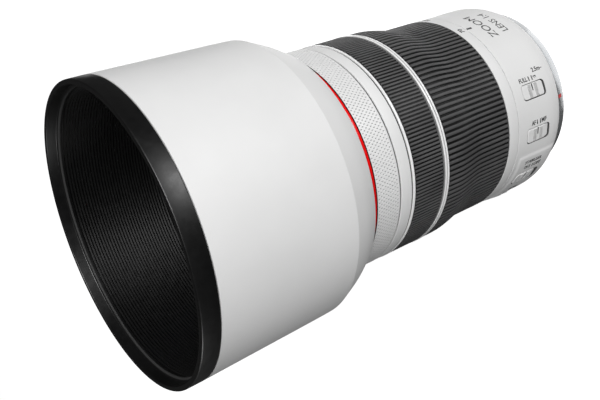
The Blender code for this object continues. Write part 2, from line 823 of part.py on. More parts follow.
def make_hood(parent):
    """White hood shell with bayonet tabs, its black liner and the lock button."""
    shell = (
        (HOOD_REAR_R, HOOD_Z),
        (HOOD_COLLAR_R, HOOD_COLLAR_Z),
        (HOOD_WAIST_R, HOOD_WAIST_Z),
        (HOOD_SHOULDER_R, HOOD_SHOULDER_Z),
        (HOOD_BODY_R, HOOD_BODY_Z),
        (HOOD_R - 0.05, HOOD_RIM_Z - GAP),
        (HOOD_R - HOOD_WALL, HOOD_RIM_Z - GAP),
        (HOOD_R - HOOD_WALL, 133.0),
        (49.0, 129.6),
        (44.2, 121.2),
        (HOOD_INNER_R, HOOD_TAB_Z[1]),
        (HOOD_INNER_R, HOOD_TAB_Z[0]),
        (HOOD_INNER_R, HOOD_Z),
    )
    mesh_data = turned_mesh(shell)
    raise_tabs(mesh_data, HOOD_TAB_Z, HOOD_TAB_ANGLES, HOOD_TAB_SPAN, -1.05, HOOD_INNER_R)
    hood = to_object("hood_shell", mesh_data, "white_paint", parent)
    step_r = HOOD_R - HOOD_WALL
    liner = (
        (HOOD_R, HOOD_RIM_Z),
        (HOOD_R, HOOD_END_Z),
        (step_r, HOOD_END_Z),
        (step_r, HOOD_STEP_Z),
        (LINER_R, HOOD_STEP_Z - 0.2),
        (LINER_R, LINER_Z),
        (step_r - GAP, LINER_Z),
        (step_r - GAP, HOOD_RIM_Z),
    )
    turned("hood_liner", liner, "black_plastic", parent)
    width, _, length = HOOD_BUTTON_SIZE
    opening = block_mesh((width + 2 * GAP, 16.0, length + 2 * GAP))
    hole = to_object("button_hole", opening, None, parent)
    place_outward(hole, HOOD_BUTTON_ANGLE, HOOD_BUTTON_R, HOOD_BUTTON_Z)
    cut(hood, hole)


def make_hood_button(parent):
    """Button that is pressed toward the axis to free the hood."""
    button = to_object("hood_lock_button", block_mesh(HOOD_BUTTON_SIZE), "white_paint", parent, False)
    place_outward(button, HOOD_BUTTON_ANGLE, HOOD_BUTTON_R, HOOD_BUTTON_Z)
    round_edges(button, 0.4)


def main():
    clear_scene()
    lens = assembly("lens")
    make_bayonet_mount(lens)
    make_mount_rings(lens)
    make_rear_barrel(lens)
    make_contacts(lens)
    make_rear_optics(lens)
    make_electronics(lens)
    make_guide_barrel(lens)
    make_fixed_trim(lens)
    make_switches(assembly("switches", parent=lens))
    zoom = assembly("zoom_axis", parent=lens)
    make_zoom_ring(zoom)
    make_cam_barrel(zoom)
    make_focus_ring(assembly("focus_ring_axis", parent=lens))
    make_control_ring(assembly("control_ring_axis", parent=lens))
    front = assembly("front_slide", parent=lens)
    make_front_barrel(front)
    make_filter_ring(front)
    make_front_optics(front)
    make_variator(assembly("variator_slide", parent=lens))
    make_iris(lens, assembly("iris_axis", parent=lens))
    make_blades(assembly("blade_pivots", parent=lens))
    frame_slide = assembly("stabiliser_across", parent=lens)
    make_stabiliser(frame_slide, assembly("stabiliser_along", parent=frame_slide))
    make_focus_group(lens, assembly("focus_slide", parent=lens))
    hood = assembly("hood_axis", parent=front)
    make_hood(hood)
    make_hood_button(hood)


main()
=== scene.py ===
"""The looks of a white telephoto zoom lens with its hood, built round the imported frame.

The lens stands on its mount. +Z is the optical axis, +Y the top of the barrel and
+X the side with the switches. Sizes in the code are millimetres; MM turns them to metres.
"""

import json
import math

import bmesh
import bpy
import numpy as np
from mathutils import Matrix, Vector


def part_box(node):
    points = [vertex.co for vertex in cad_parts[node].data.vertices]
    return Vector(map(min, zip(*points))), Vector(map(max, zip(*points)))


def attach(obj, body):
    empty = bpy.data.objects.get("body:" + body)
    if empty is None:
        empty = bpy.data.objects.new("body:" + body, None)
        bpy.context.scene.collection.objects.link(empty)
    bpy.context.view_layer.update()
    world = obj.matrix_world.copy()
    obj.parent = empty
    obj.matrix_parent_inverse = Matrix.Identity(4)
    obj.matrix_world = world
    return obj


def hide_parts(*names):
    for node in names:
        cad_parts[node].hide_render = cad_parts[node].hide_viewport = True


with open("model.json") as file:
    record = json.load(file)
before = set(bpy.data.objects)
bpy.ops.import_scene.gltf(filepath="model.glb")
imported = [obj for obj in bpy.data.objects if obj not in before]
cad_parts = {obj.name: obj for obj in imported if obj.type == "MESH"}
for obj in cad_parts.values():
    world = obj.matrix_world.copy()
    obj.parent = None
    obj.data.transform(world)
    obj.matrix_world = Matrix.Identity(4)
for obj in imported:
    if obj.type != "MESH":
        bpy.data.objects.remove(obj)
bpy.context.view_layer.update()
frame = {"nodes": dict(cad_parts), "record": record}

MM = 0.001
TAU = 2 * math.pi

# Facets round the visible rings
FINE = 288
MEDIUM = 144

# Ribs and knurls, counted on the object
ZOOM_RIBS = 130
FOCUS_RIBS = 192
KNURL_AROUND = 184
KNURL_ROWS = 9
KNURL_DEPTH = 0.26
HOOD_RIB_PITCH = 1.15

# Points closer than this are one point
MERGE = 0.0005

# Switches: angle from the top of the barrel
SWITCH_ANGLES = {
    "focus_limiter_knob": 49.0,
    "af_mf_knob": 74.0,
    "stabiliser_knob": 104.0,
    "stabiliser_mode_knob": 129.0,
    "zoom_lock_knob": 270.0,
}
SWITCH_Z = 27.6
WINDOW = (6.3, 13.2)
BARREL_FOOT = 12.3
PAD_START = (85.5, 87.8)
PAD_END = (144.0, 147.0)
PAD_RISE = 0.4
FOCAL_LENGTHS = (("70", 0.0), ("100", -27.0), ("135", -51.0), ("200", -75.0))

# Black seals deep in the gaps between the rings, painted shade that darkens the gap lines: lower node,
# upper node, inner and outer radius
SHADE_SEAMS = (
    ("rear_barrel", "zoom_ring", 38.2, 39.3),
    ("focus_trim_ring", "mid_band", 40.3, 41.7),
    ("mid_band", "control_ring", 40.3, 41.6),
    ("control_ring", "red_band", 40.35, 42.0),
)

# Places of the tabs, button, screws, pins and name
TABS = (30.0, 150.0, 270.0)
HOOD_BUTTON_ANGLE = 210.0
BUTTON_Z = 125.0
SCREW_ANGLES = (45.0, 135.0, 225.0, 315.0)
SCREW_CIRCLE = 30.0
NAME_CIRCLE = 34.3
CAM_PIN_ANGLES = (60.0, 180.0, 300.0)


def span(node):
    """Lowest and highest station and outer radius of a node, in millimetres."""
    low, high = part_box(node)
    return low.z / MM, high.z / MM, high.x / MM


def direction(angle):
    """Unit vector at an angle from the top of the barrel towards the switches."""
    turn = math.radians(angle)
    return Vector((math.sin(turn), math.cos(turn), 0.0))


def lift(flat, height):
    """The point at a height over a flat one."""
    return Vector((flat.x, flat.y, height))


# ---- Materials ----


class Nodes:
    """A material's node tree, with short ways to add and link nodes."""

    def __init__(self, name, colour, roughness, metallic=0.0, **sockets):
        self.material = bpy.data.materials.new(name)
        self.material.use_nodes = True
        self.tree = self.material.node_tree
        self.shader = self.tree.nodes["Principled BSDF"]
        self.set("Base Color", (*colour, 1.0))
        self.set("Roughness", roughness)
        self.set("Metallic", metallic)
        for socket, value in sockets.items():
            self.set(socket.replace("_", " "), value)
        self.place = self.tree.nodes.new("ShaderNodeTexCoord").outputs["Object"]

    def set(self, socket, value):
        self.shader.inputs[socket].default_value = value

    def link(self, output, socket):
        self.tree.links.new(output, socket)

    def noise(self, scale, detail=3.0, stretch=None):
        node = self.tree.nodes.new("ShaderNodeTexNoise")
        node.inputs["Scale"].default_value = scale
        node.inputs["Detail"].default_value = detail
        place = self.place
        if stretch:
            mapping = self.tree.nodes.new("ShaderNodeMapping")
            mapping.inputs["Scale"].default_value = stretch
            self.link(place, mapping.inputs["Vector"])
            place = mapping.outputs["Vector"]
        self.link(place, node.inputs["Vector"])
        return node.outputs["Fac"]

    def ramp(self, value, low, high, start=0.3, end=0.7):
        """Colours from low to high as a value goes from start to end."""
        node = self.tree.nodes.new("ShaderNodeValToRGB")
        node.color_ramp.elements[0].position = start
        node.color_ramp.elements[1].position = end
        node.color_ramp.elements[0].color = (*low, 1.0)
        node.color_ramp.elements[1].color = (*high, 1.0)
        self.link(value, node.inputs["Fac"])
        return node.outputs["Color"]

    def vary_colour(self, value, low, high, start=0.3, end=0.7):
        self.link(self.ramp(value, low, high, start, end), self.shader.inputs["Base Color"])

    def vary_roughness(self, value, low, high):
        node = self.tree.nodes.new("ShaderNodeMapRange")
        node.inputs["From Min"].default_value = 0.3
        node.inputs["From Max"].default_value = 0.7
        node.inputs["To Min"].default_value = low
        node.inputs["To Max"].default_value = high
        self.link(value, node.inputs["Value"])
        self.link(node.outputs["Result"], self.shader.inputs["Roughness"])

    def bump(self, value, distance, strength=1.0):
        node = self.tree.nodes.new("ShaderNodeBump")
        node.inputs["Strength"].default_value = strength
        node.inputs["Distance"].default_value = distance
        self.link(value, node.inputs["Height"])
        before = self.shader.inputs["Normal"]
        if before.is_linked:
            self.link(before.links[0].from_socket, node.inputs["Normal"])
        self.link(node.outputs["Normal"], self.shader.inputs["Normal"])

    def attribute(self, name):
        node = self.tree.nodes.new("ShaderNodeAttribute")
        node.attribute_name = name
        return node.outputs["Fac"]

    def paint_shade(self, name, colour):
        """Blend the base colour towards a darker one by a mesh attribute, as painted shade."""
        node = self.tree.nodes.new("ShaderNodeMixRGB")
        base = self.shader.inputs["Base Color"]
        self.link(self.attribute(name), node.inputs["Fac"])
        self.link(base.links[0].from_socket, node.inputs["Color1"])
        node.inputs["Color2"].default_value = (*colour, 1.0)
        self.link(node.outputs["Color"], base)


def white_paint():
    """Off-white satin paint: a fine orange-peel grain and faint patches of dust."""
    paint = Nodes("white_paint", (0.80, 0.80, 0.80), 0.48, Specular_IOR_Level=0.25)
    patches = paint.noise(38.0, 4.0)
    paint.vary_colour(patches, (0.782, 0.782, 0.780), (0.822, 0.822, 0.820))
    paint.vary_roughness(paint.noise(160.0), 0.44, 0.52)
    paint.bump(paint.noise(2600.0, 2.0), 0.00002, 0.35)
    return paint.material


def rubber():
    """Matte rubber with a patchy dusty tone, turned black down in the grooves by painted shade."""
    grip = Nodes("black_rubber", (0.06, 0.06, 0.061), 0.50, Specular_IOR_Level=0.45)
    grip.vary_colour(grip.noise(70.0, 4.0), (0.062, 0.062, 0.063), (0.100, 0.100, 0.101))
    # Painted shade: the colour goes near black with the depth of each groove.
    grip.paint_shade("groove_shade", (0.0025, 0.0025, 0.0025))
    grip.vary_roughness(grip.noise(320.0), 0.42, 0.58)
    grip.bump(grip.noise(5200.0, 2.0), 0.00002, 0.4)
    return grip.material


def black_plastic():
    """Black moulded plastic with a satin, slightly pebbled surface."""
    shell = Nodes("black_plastic", (0.003, 0.003, 0.003), 0.36, Specular_IOR_Level=0.65)
    shell.vary_colour(shell.noise(90.0, 4.0), (0.0018, 0.0018, 0.0019), (0.0034, 0.0034, 0.0035))
    # Painted shade: darker down in the valleys between the hood's ribs.
    shell.paint_shade("groove_shade", (0.0005, 0.0005, 0.0005))
    shell.vary_roughness(shell.noise(400.0), 0.33, 0.40)
    shell.bump(shell.noise(3600.0, 2.0), 0.000012, 0.4)
    return shell.material


def flat_black():
    """Light-absorbing black paint, for the inside of the cells."""
    paint = Nodes("flat_black", (0.004, 0.004, 0.004), 0.75, Specular_IOR_Level=0.3)
    paint.vary_colour(paint.noise(120.0, 4.0), (0.003, 0.003, 0.003), (0.007, 0.007, 0.007))
    paint.vary_roughness(paint.noise(500.0), 0.66, 0.85)
    paint.bump(paint.noise(4800.0, 2.0), 0.00003, 0.5)
    return paint.material


def grey_metal():
    """Dark grey anodised metal, brushed round the axis."""
    metal = Nodes("grey_ring", (0.42, 0.435, 0.45), 0.22, 0.7)
    lines = metal.noise(60.0, 3.0, (1.0, 1.0, 60.0))
    metal.vary_colour(lines, (0.38, 0.395, 0.41), (0.45, 0.465, 0.48))
    metal.vary_roughness(lines, 0.19, 0.26)
    metal.bump(lines, 0.00001, 0.3)
    return metal.material


def turned_metal(name, colour, rough, brush=80.0):
    """Bright metal with fine tool lines round the axis."""
    metal = Nodes(name, colour, rough, 1.0)
    lines = metal.noise(45.0, 4.0, (1.0, 1.0, brush))
    darker = tuple(0.88 * part for part in colour)
    metal.vary_colour(lines, darker, colour)
    metal.vary_roughness(lines, rough * 0.8, rough * 1.3)
    metal.bump(lines, 0.000008, 0.35)
    return metal.material


def bright_trim():
    """Thin bright trim: glossy white enamel, with a dark line of painted shade where it is grooved."""
    trim = Nodes("bright_trim", (0.96, 0.96, 0.96), 0.20, Coat_Weight=0.5, Coat_Roughness=0.08)
    lines = trim.noise(50.0, 3.0, (1.0, 1.0, 40.0))
    trim.vary_colour(lines, (0.94, 0.94, 0.94), (0.97, 0.97, 0.97))
    # Painted shade: a dark line down in the divider's groove.
    trim.paint_shade("groove_shade", (0.06, 0.06, 0.06))
    trim.vary_roughness(lines, 0.16, 0.24)
    trim.bump(lines, 0.000004, 0.2)
    return trim.material


def red_enamel():
    """Glossy red enamel on the front band and the mount index."""
    enamel = Nodes("red_band", (0.86, 0.002, 0.003), 0.22, Coat_Weight=0.4, Coat_Roughness=0.08)
    enamel.vary_colour(enamel.noise(60.0), (0.82, 0.0015, 0.002), (0.90, 0.003, 0.004))
    enamel.vary_roughness(enamel.noise(300.0), 0.17, 0.24)
    enamel.bump(enamel.noise(1800.0), 0.00001, 0.2)
    return enamel.material


def knurl_paint():
    """White paint over a knurl, with painted shade darkening it down in its dimples."""
    paint = Nodes("knurled_grey", (0.78, 0.78, 0.78), 0.36)
    paint.vary_colour(paint.noise(60.0, 4.0), (0.78, 0.78, 0.78), (0.82, 0.82, 0.82))
    # Painted shade: darker with the depth of each dimple.
    paint.paint_shade("groove_shade", (0.20, 0.20, 0.20))
    paint.vary_roughness(paint.noise(220.0), 0.32, 0.42)
    paint.bump(paint.noise(3200.0), 0.00001, 0.3)
    return paint.material


def gold():
    contact = Nodes("gold_contact", (0.90, 0.66, 0.28), 0.20, 1.0)
    contact.vary_colour(contact.noise(400.0), (0.84, 0.58, 0.22), (0.94, 0.70, 0.32))
    contact.vary_roughness(contact.noise(900.0), 0.14, 0.28)
    contact.bump(contact.noise(5000.0), 0.000005, 0.2)
    return contact.material


def board():
    """Green circuit laminate with copper tracks under the mask."""
    laminate = Nodes("board", (0.02, 0.13, 0.06), 0.35, Coat_Weight=0.3)
    tracks = laminate.noise(900.0, 1.0)
    laminate.vary_colour(tracks, (0.012, 0.095, 0.04), (0.05, 0.20, 0.09), 0.48, 0.52)
    laminate.vary_roughness(tracks, 0.30, 0.45)
    laminate.bump(tracks, 0.00004, 0.5)
    return laminate.material


def coated_glass(name, tint):
    """Optical glass with a coloured anti-reflection coating."""
    glass = Nodes(
        name,
        (0.86, 0.90, 0.92),
        0.02,
        Transmission_Weight=1.0,
        IOR=1.52,
        Specular_Tint=(*tint, 1.0),
        Coat_Weight=0.3,
        Coat_Roughness=0.02,
        Coat_Tint=(*tint, 1.0),
    )
    glass.vary_roughness(glass.noise(25.0), 0.01, 0.035)
    glass.bump(glass.noise(900.0, 2.0), 0.000002, 0.03)
    return glass.material


def marking(name, colour):
    """Printed ink: slightly uneven, on top of the paint."""
    ink = Nodes(name, colour, 0.5)
    lighter = tuple(min(1.0, part * 1.2 + 0.003) for part in colour)
    ink.vary_colour(ink.noise(1500.0), colour, lighter)
    ink.vary_roughness(ink.noise(900.0), 0.42, 0.58)
    ink.bump(ink.noise(4000.0), 0.000005, 0.2)
    return ink.material


WHITE = white_paint()
RUBBER = rubber()
BLACK = black_plastic()
FLAT_BLACK = flat_black()
GREY = grey_metal()
TRIM = bright_trim()
RED = red_enamel()
KNURL = knurl_paint()
CHROME = turned_metal("mount_chrome", (0.78, 0.775, 0.76), 0.20)
STEEL = turned_metal("steel", (0.62, 0.62, 0.63), 0.28)
ALUMINIUM = turned_metal("aluminium", (0.66, 0.67, 0.68), 0.36)
GOLD = gold()
BOARD = board()
FRONT_GLASS = coated_glass("front_glass", (0.55, 0.85, 0.70))
INNER_GLASS = coated_glass("inner_glass", (0.75, 0.55, 0.90))
# Painted shade: mid grey on the switch ridges stands in for the shade between them.
RIDGE_SHADE_GREY = marking("ridge_shade_grey", (0.50, 0.50, 0.50))
# Painted shade: dark grey lining for the walls of the switch pockets.
POCKET_SHADE_GREY = marking("pocket_shade_grey", (0.07, 0.07, 0.07))
# Painted highlight: lighter than the black plastic, so the hood's inner step reads as a lit line.
STEP_HIGHLIGHT_GREY = marking("step_highlight_grey", (0.045, 0.045, 0.045))
INK = marking("black_ink", (0.007, 0.007, 0.008))
WHITE_INK = marking("white_ink", (0.72, 0.72, 0.72))
RED_INK = marking("red_ink", (0.55, 0.002, 0.003))

NODE_LOOKS = {
    "white_paint": WHITE,
    "grey_ring": GREY,
    "black_rubber": RUBBER,
    "black_plastic": BLACK,
    "knurled_grey": KNURL,
    "bright_trim": TRIM,
    "red_band": RED,
    "mount_chrome": CHROME,
    "steel": STEEL,
    "gold_contact": GOLD,
    "aluminium": ALUMINIUM,
    "board": BOARD,
    "lens_glass": INNER_GLASS,
}


def dress_cad_nodes():
    """Give every CAD node the procedural material of its slot."""
    for row in frame["record"]["subparts"]:
        node = frame["nodes"][row["node"]]
        node.data.materials.clear()
        node.data.materials.append(NODE_LOOKS[row["material_slot"]])


# ---- Mesh helpers ----


def finish_piece(name, mesh, material, body, nodes=(), sharp=35.0):
    """Make the object, shade it, and say what it rides on and replaces."""
    if not mesh.materials:
        mesh.materials.append(material)
    mesh.shade_smooth()
    mesh.set_sharp_from_angle(angle=math.radians(sharp))
    piece = bpy.data.objects.new(name, mesh)
    bpy.context.scene.collection.objects.link(piece)
    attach(piece, body)
    if nodes:
        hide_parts(*nodes)
    return piece


def fillet(outline, steps=4):
    """Round the corners of a closed outline of (radius, height, fillet) points."""
    points = []
    count = len(outline)
    for index, (radius, height, bend) in enumerate(outline):
        here = Vector((radius, height))
        if bend <= 0:
            points.append(here)
            continue
        before = Vector(outline[index - 1][:2]) - here
        after = Vector(outline[(index + 1) % count][:2]) - here
        reach = min(bend, before.length * 0.49, after.length * 0.49)
        start = here + before.normalized() * reach
        end = here + after.normalized() * reach
        for step in range(steps + 1):
            part = step / steps
            a = start.lerp(here, part)
            b = here.lerp(end, part)
            points.append(a.lerp(b, part))
    return np.array([(point.x, point.y) for point in points])


def mark_grooves(mesh, depth_at):
    """Store how deep in a groove each point lies, from its radius and height in millimetres; it sets
    the painted shade there.
    """
    spots = np.empty(len(mesh.vertices) * 3)
    mesh.vertices.foreach_get("co", spots)
    spots = spots.reshape(-1, 3) / MM
    depth = np.clip(depth_at(np.hypot(spots[:, 0], spots[:, 1]), spots[:, 2]), 0.0, 1.0)
    values = mesh.attributes.new("groove_shade", "FLOAT", "POINT")
    values.data.foreach_set("value", depth.astype(np.float32))


def rings_to_mesh(name, radii, heights, angles):
    """A closed mesh from rings: radii and heights are arrays of (row, column)."""
    rows, columns = radii.shape
    spots = np.stack([radii * np.sin(angles), radii * np.cos(angles), heights], axis=-1)
    index = np.arange(rows * columns).reshape(rows, columns)
    after = np.roll(index, -1, axis=1)
    above = np.roll(index, -1, axis=0)
    above_after = np.roll(above, -1, axis=1)
    quads = np.stack([index, above, above_after, after], axis=-1).reshape(-1, 4)
    spots = spots.reshape(-1, 3) * MM
    a, b, c, d = (spots[quads[:, corner]] for corner in range(4))
    volume = np.einsum("ij,ij->i", a, np.cross(b, c)) + np.einsum("ij,ij->i", a, np.cross(c, d))
    if volume.sum() < 0:
        quads = quads[:, ::-1]
    mesh = bpy.data.meshes.new(name)
    mesh.from_pydata(spots.tolist(), [], quads.tolist())
    mesh.update()
    return mesh


def turned_mesh(name, outline, columns=FINE, steps=4):
    """A ring turned round the axis from a closed outline."""
    points = fillet(outline, steps)
    angles = np.linspace(0.0, TAU, columns, endpoint=False)
    radii = np.repeat(points[:, 0:1], columns, axis=1)
    heights = np.repeat(points[:, 1:2], columns, axis=1)
    return rings_to_mesh(name, radii, heights, angles)


def turned(name, outline, material, body, nodes=(), columns=FINE, steps=4):
    mesh = turned_mesh(name, outline, columns, steps)
    return finish_piece(name, mesh, material, body, nodes)


def tabbed_mesh(name, outline, angles, span_angle, columns=FINE, steps=3):
    """A turned ring with tabs: outline points (radius, height, fillet, tab radius)."""
    plain = fillet([point[:3] for point in outline], steps)
    reaches = [point[3] if len(point) > 3 else point[0] for point in outline]
    tabbed = fillet([(reach, *point[1:3]) for reach, point in zip(reaches, outline)], steps)
    turns = np.linspace(0.0, 360.0, columns, endpoint=False)
    inside = np.zeros(columns, bool)
    for angle in angles:
        inside |= np.abs((turns - angle + 180.0) % 360.0 - 180.0) < span_angle / 2
    radii = np.where(inside[None, :], tabbed[:, 0:1], plain[:, 0:1])
    heights = np.where(inside[None, :], tabbed[:, 1:2], plain[:, 1:2])
    mesh = rings_to_mesh(name, radii, heights, np.radians(turns))
    mesh_data = bmesh.new()
    mesh_data.from_mesh(mesh)
    near = 4 * MERGE * MM
    bmesh.ops.remove_doubles(mesh_data, verts=mesh_data.verts, dist=near)
    bmesh.ops.dissolve_degenerate(mesh_data, edges=mesh_data.edges, dist=near)
    mesh_data.to_mesh(mesh)
    mesh_data.free()
    return mesh


def bridge(mesh_data, first, second):
    count = len(first)
    for column in range(count):
        after = (column + 1) % count
        mesh_data.faces.new((first[column], first[after], second[after], second[column]))


def mesh_from(name, mesh_data):
    """A mesh from a bmesh, with its faces pointing out."""
    bmesh.ops.recalc_face_normals(mesh_data, faces=mesh_data.faces)
    mesh = bpy.data.meshes.new(name)
    mesh_data.to_mesh(mesh)
    mesh_data.free()
    return mesh


def skin(name, rows):
    """A mesh over rows of points in millimetres, capped at both ends."""
    mesh_data = bmesh.new()
    rings = [[mesh_data.verts.new(spot * MM) for spot in row] for row in rows]
    for first, second in zip(rings, rings[1:]):
        bridge(mesh_data, first, second)
    mesh_data.faces.new(rings[0])
    mesh_data.faces.new(rings[-1])
    return mesh_from(name, mesh_data)


def dome_mesh(name, radius, edge, sags, columns=96, steps=10):
    """A lens: its rim runs between two heights and both faces are domed."""
    low, high = edge
    parts = [step / steps for step in range(1, steps + 1)]
    outline = [(radius * part, low - sags[0] * (1 - part * part)) for part in parts]
    outline += [(radius * part, high + sags[1] * (1 - part * part)) for part in parts[::-1]]
    mesh_data = bmesh.new()
    spokes = [direction(360.0 * column / columns) for column in range(columns)]
    rows = []
    for reach, height in outline:
        rows.append([mesh_data.verts.new(lift(spoke * reach, height) * MM) for spoke in spokes])
    for first, second in zip(rows, rows[1:]):
        bridge(mesh_data, first, second)
    for row, height in ((rows[0], low - sags[0]), (rows[-1], high + sags[1])):
        pole = mesh_data.verts.new(Vector((0.0, 0.0, height)) * MM)
        for column in range(columns):
            mesh_data.faces.new((row[column], row[(column + 1) % columns], pole))
    return mesh_from(name, mesh_data)


def smooth_step(value, low, high):
    part = np.clip((value - low) / (high - low), 0.0, 1.0)
    return part * part * (3 - 2 * part)


def ribbed_mesh(name, heights, radius_at, inner_at, ribs, depth, collar=0.0):
    """A grip with ribs along the axis, whose radius follows a function of height.

    A collar above zero closes the lower ends of the grooves with a ring of that width.
    """
    section = ((0.00, 0.0), (0.20, 0.0), (0.24, 0.85), (0.31, 0.98), (0.42, 1.0))
    section += ((0.58, 1.0), (0.69, 0.98), (0.76, 0.85), (0.80, 0.0))
    shares = np.array([(rib + share) / ribs for rib in range(ribs) for share, _ in section])
    rises = np.array([rise for _ in range(ribs) for _, rise in section])
    angles = shares * TAU
    low, high = heights[0], heights[-1]
    lip = 0.28
    rows = [(low, 0.0, 0.0), (low + 0.06, 0.55, 0.0), (low + lip, 1.0, 0.0)]
    if collar:
        closed = low + collar
        rows = [(low, 0.0, 0.7), (low + 0.1, 0.0, 0.95), (closed, 0.0, 0.95), (closed + 0.03, 1.0, 0.0)]
    rows += [(height, 1.0, 0.0) for height in heights[1:-1]]
    rows += [(high - lip, 1.0, 0.0), (high - 0.06, 0.55, 0.0), (high, 0.0, 0.0)]
    radii = []
    for height, share, fill in rows:
        radii.append(radius_at(height) - depth * (1 - np.maximum(rises * share, fill)))
    levels = [np.full(len(angles), height) for height, _, _ in rows]
    for height in heights[::-1]:
        radii.append(np.full(len(angles), inner_at(height)))
        levels.append(np.full(len(angles), height))
    return rings_to_mesh(name, np.array(radii), np.array(levels), angles)


def sector_mesh(name, outline, start, end, count=24, steps=3):
    """A bar of the given section bent round the axis between two angles."""
    points = fillet(outline, steps)
    rows = []
    for step in range(count + 1):
        spoke = direction(start + (end - start) * step / count)
        rows.append([lift(spoke * radius, height) for radius, height in points])
    return skin(name, rows)


def rounded_rectangle(width, length, bend, steps=5):
    """Points round a rectangle with round corners, centred on the origin."""
    points = []
    for corner in range(4):
        side_x = 1 if corner in (0, 3) else -1
        side_y = 1 if corner in (0, 1) else -1
        centre = Vector((side_x * (width / 2 - bend), side_y * (length / 2 - bend)))
        for step in range(steps + 1):
            turn = math.radians(90.0 * (corner + step / steps))
            points.append(centre + Vector((math.cos(turn), math.sin(turn))) * bend)
    return points


def slab_mesh(name, width, length, bend, levels, angle=0.0, height=0.0, inset=0.0):
    """A rounded slab on the barrel: across, along the axis, and outward levels.

    The last level is drawn in by inset, which rounds the slab's outer edge.
    The slab faces outward at the angle, centred on a height.
    """
    outward = direction(angle)
    across = Vector((outward.y, -outward.x, 0.0))
    rows = []
    for index, level in enumerate(levels):
        shrink = inset if index == len(levels) - 1 else 0.0
        size = (width - 2 * shrink, length - 2 * shrink)
        outline = rounded_rectangle(*size, max(bend - shrink, 0.02))
        middle = outward * level
        rows.append([lift(middle + across * point.x, height + point.y) for point in outline])
    return skin(name, rows)


def rod_mesh(name, steps, columns=32):
    """A round bar along Z from (radius, height) steps, capped at both ends."""
    turns = [TAU * column / columns for column in range(columns)]
    rows = []
    for radius, height in steps:
        row = [(math.cos(turn) * radius, math.sin(turn) * radius, height) for turn in turns]
        rows.append([Vector(spot) for spot in row])
    return skin(name, rows)


def move(mesh, place, turn=None):
    """Place a mesh by its vertices: turned, then shifted by millimetres."""
    matrix = Matrix.Translation(Vector(place) * MM)
    if turn:
        matrix = matrix @ turn.to_4x4()
    mesh.transform(matrix)
    return mesh


def joined(name, meshes):
    """One mesh holding all the given ones."""
    mesh_data = bmesh.new()
    for mesh in meshes:
        mesh_data.from_mesh(mesh)
        bpy.data.meshes.remove(mesh)
    return mesh_from(name, mesh_data)


def carve(mesh, cutters, material, lining):
    """Take the cutters out of a mesh; the cut faces get the lining material."""
    scene = bpy.context.scene.collection
    mesh.materials.append(material)
    base = bpy.data.objects.new("carve_base", mesh)
    scene.objects.link(base)
    tools = []
    for cutter in cutters:
        cutter.materials.append(lining)
        tool = bpy.data.objects.new("carve_tool", cutter)
        scene.objects.link(tool)
        tools.append(tool)
        boolean = base.modifiers.new("carve", "BOOLEAN")
        boolean.operation = "DIFFERENCE"
        boolean.solver = "EXACT"
        boolean.material_mode = "TRANSFER"
        boolean.object = tool
    bpy.context.view_layer.update()
    graph = bpy.context.evaluated_depsgraph_get()
    result = bpy.data.meshes.new_from_object(base.evaluated_get(graph), depsgraph=graph)
    for item in (base, *tools):
        bpy.data.objects.remove(item, do_unlink=True)
    result.name = mesh.name + "_carved"
    return result


def text_mesh(words, size, extrude, offset=0.0, spacing=1.0):
    """Flat lettering centred on the origin."""
    curve = bpy.data.curves.new("lettering", "FONT")
    curve.body = words
    curve.align_x = "CENTER"
    curve.align_y = "CENTER"
    curve.size = size
    curve.space_character = spacing
    curve.offset = offset
    curve.extrude = extrude
    curve.resolution_u = 3
    item = bpy.data.objects.new("lettering", curve)
    bpy.context.scene.collection.objects.link(item)
    bpy.context.view_layer.update()
    graph = bpy.context.evaluated_depsgraph_get()
    mesh = bpy.data.meshes.new_from_object(item.evaluated_get(graph), depsgraph=graph)
    bpy.data.objects.remove(item, do_unlink=True)
    return mesh


class Print:
    """Lettering and marks printed on the barrel, gathered into one piece."""

    def __init__(self, name, radius_at, proud=0.03):
        self.name = name
        self.radius_at = radius_at
        self.proud = proud
        self.mesh_data = bmesh.new()

    def wrap(self, points, angle, height, along_axis):
        """Points (x, y, z) in millimetres laid on the barrel; z is outward."""
        spots = []
        for x, y, z in points:
            station = height - x if along_axis else height + y
            sideways = y if along_axis else x
            radius = self.radius_at(station, angle)
            spoke = direction(angle - math.degrees(sideways / radius))
            spots.append(lift(spoke * (radius + z), station) * MM)
        return spots

    def text(self, words, cap, angle, height, along_axis=False, width=None, weight=0.035):
        """Words whose capitals are cap millimetres tall, centred on a spot."""
        mesh = text_mesh(words, cap / 0.72, 2 * self.proud, weight * cap)
        points = np.array([vertex.co for vertex in mesh.vertices])
        points[:, 2] -= self.proud
        if width:
            points[:, 0] *= width / np.ptp(points[:, 0])
        for vertex, spot in zip(mesh.vertices, self.wrap(points, angle, height, along_axis)):
            vertex.co = spot
        self.mesh_data.from_mesh(mesh)
        bpy.data.meshes.remove(mesh)

    def bar(self, angle, height, around, along, steps=6):
        """A printed bar: its size round the barrel and along the axis."""
        rows = []
        for step in range(steps + 1):
            x = around * (step / steps - 0.5)
            corners = ((x, -along / 2), (x, along / 2))
            points = [(*corners[0], self.proud), (*corners[1], self.proud)]
            points += [(*corners[1], -3 * self.proud), (*corners[0], -3 * self.proud)]
            spots = self.wrap(points, angle, height, False)
            rows.append([self.mesh_data.verts.new(spot) for spot in spots])
        for first, second in zip(rows, rows[1:]):
            bridge(self.mesh_data, first, second)
        self.mesh_data.faces.new(rows[0])
        self.mesh_data.faces.new(rows[-1])

    def piece(self, material, body, slot):
        bmesh.ops.remove_doubles(self.mesh_data, verts=self.mesh_data.verts, dist=MERGE * MM)
        mesh = mesh_from(self.name, self.mesh_data)
        return finish_piece(self.name, mesh, material, body)


# ---- Hood ----


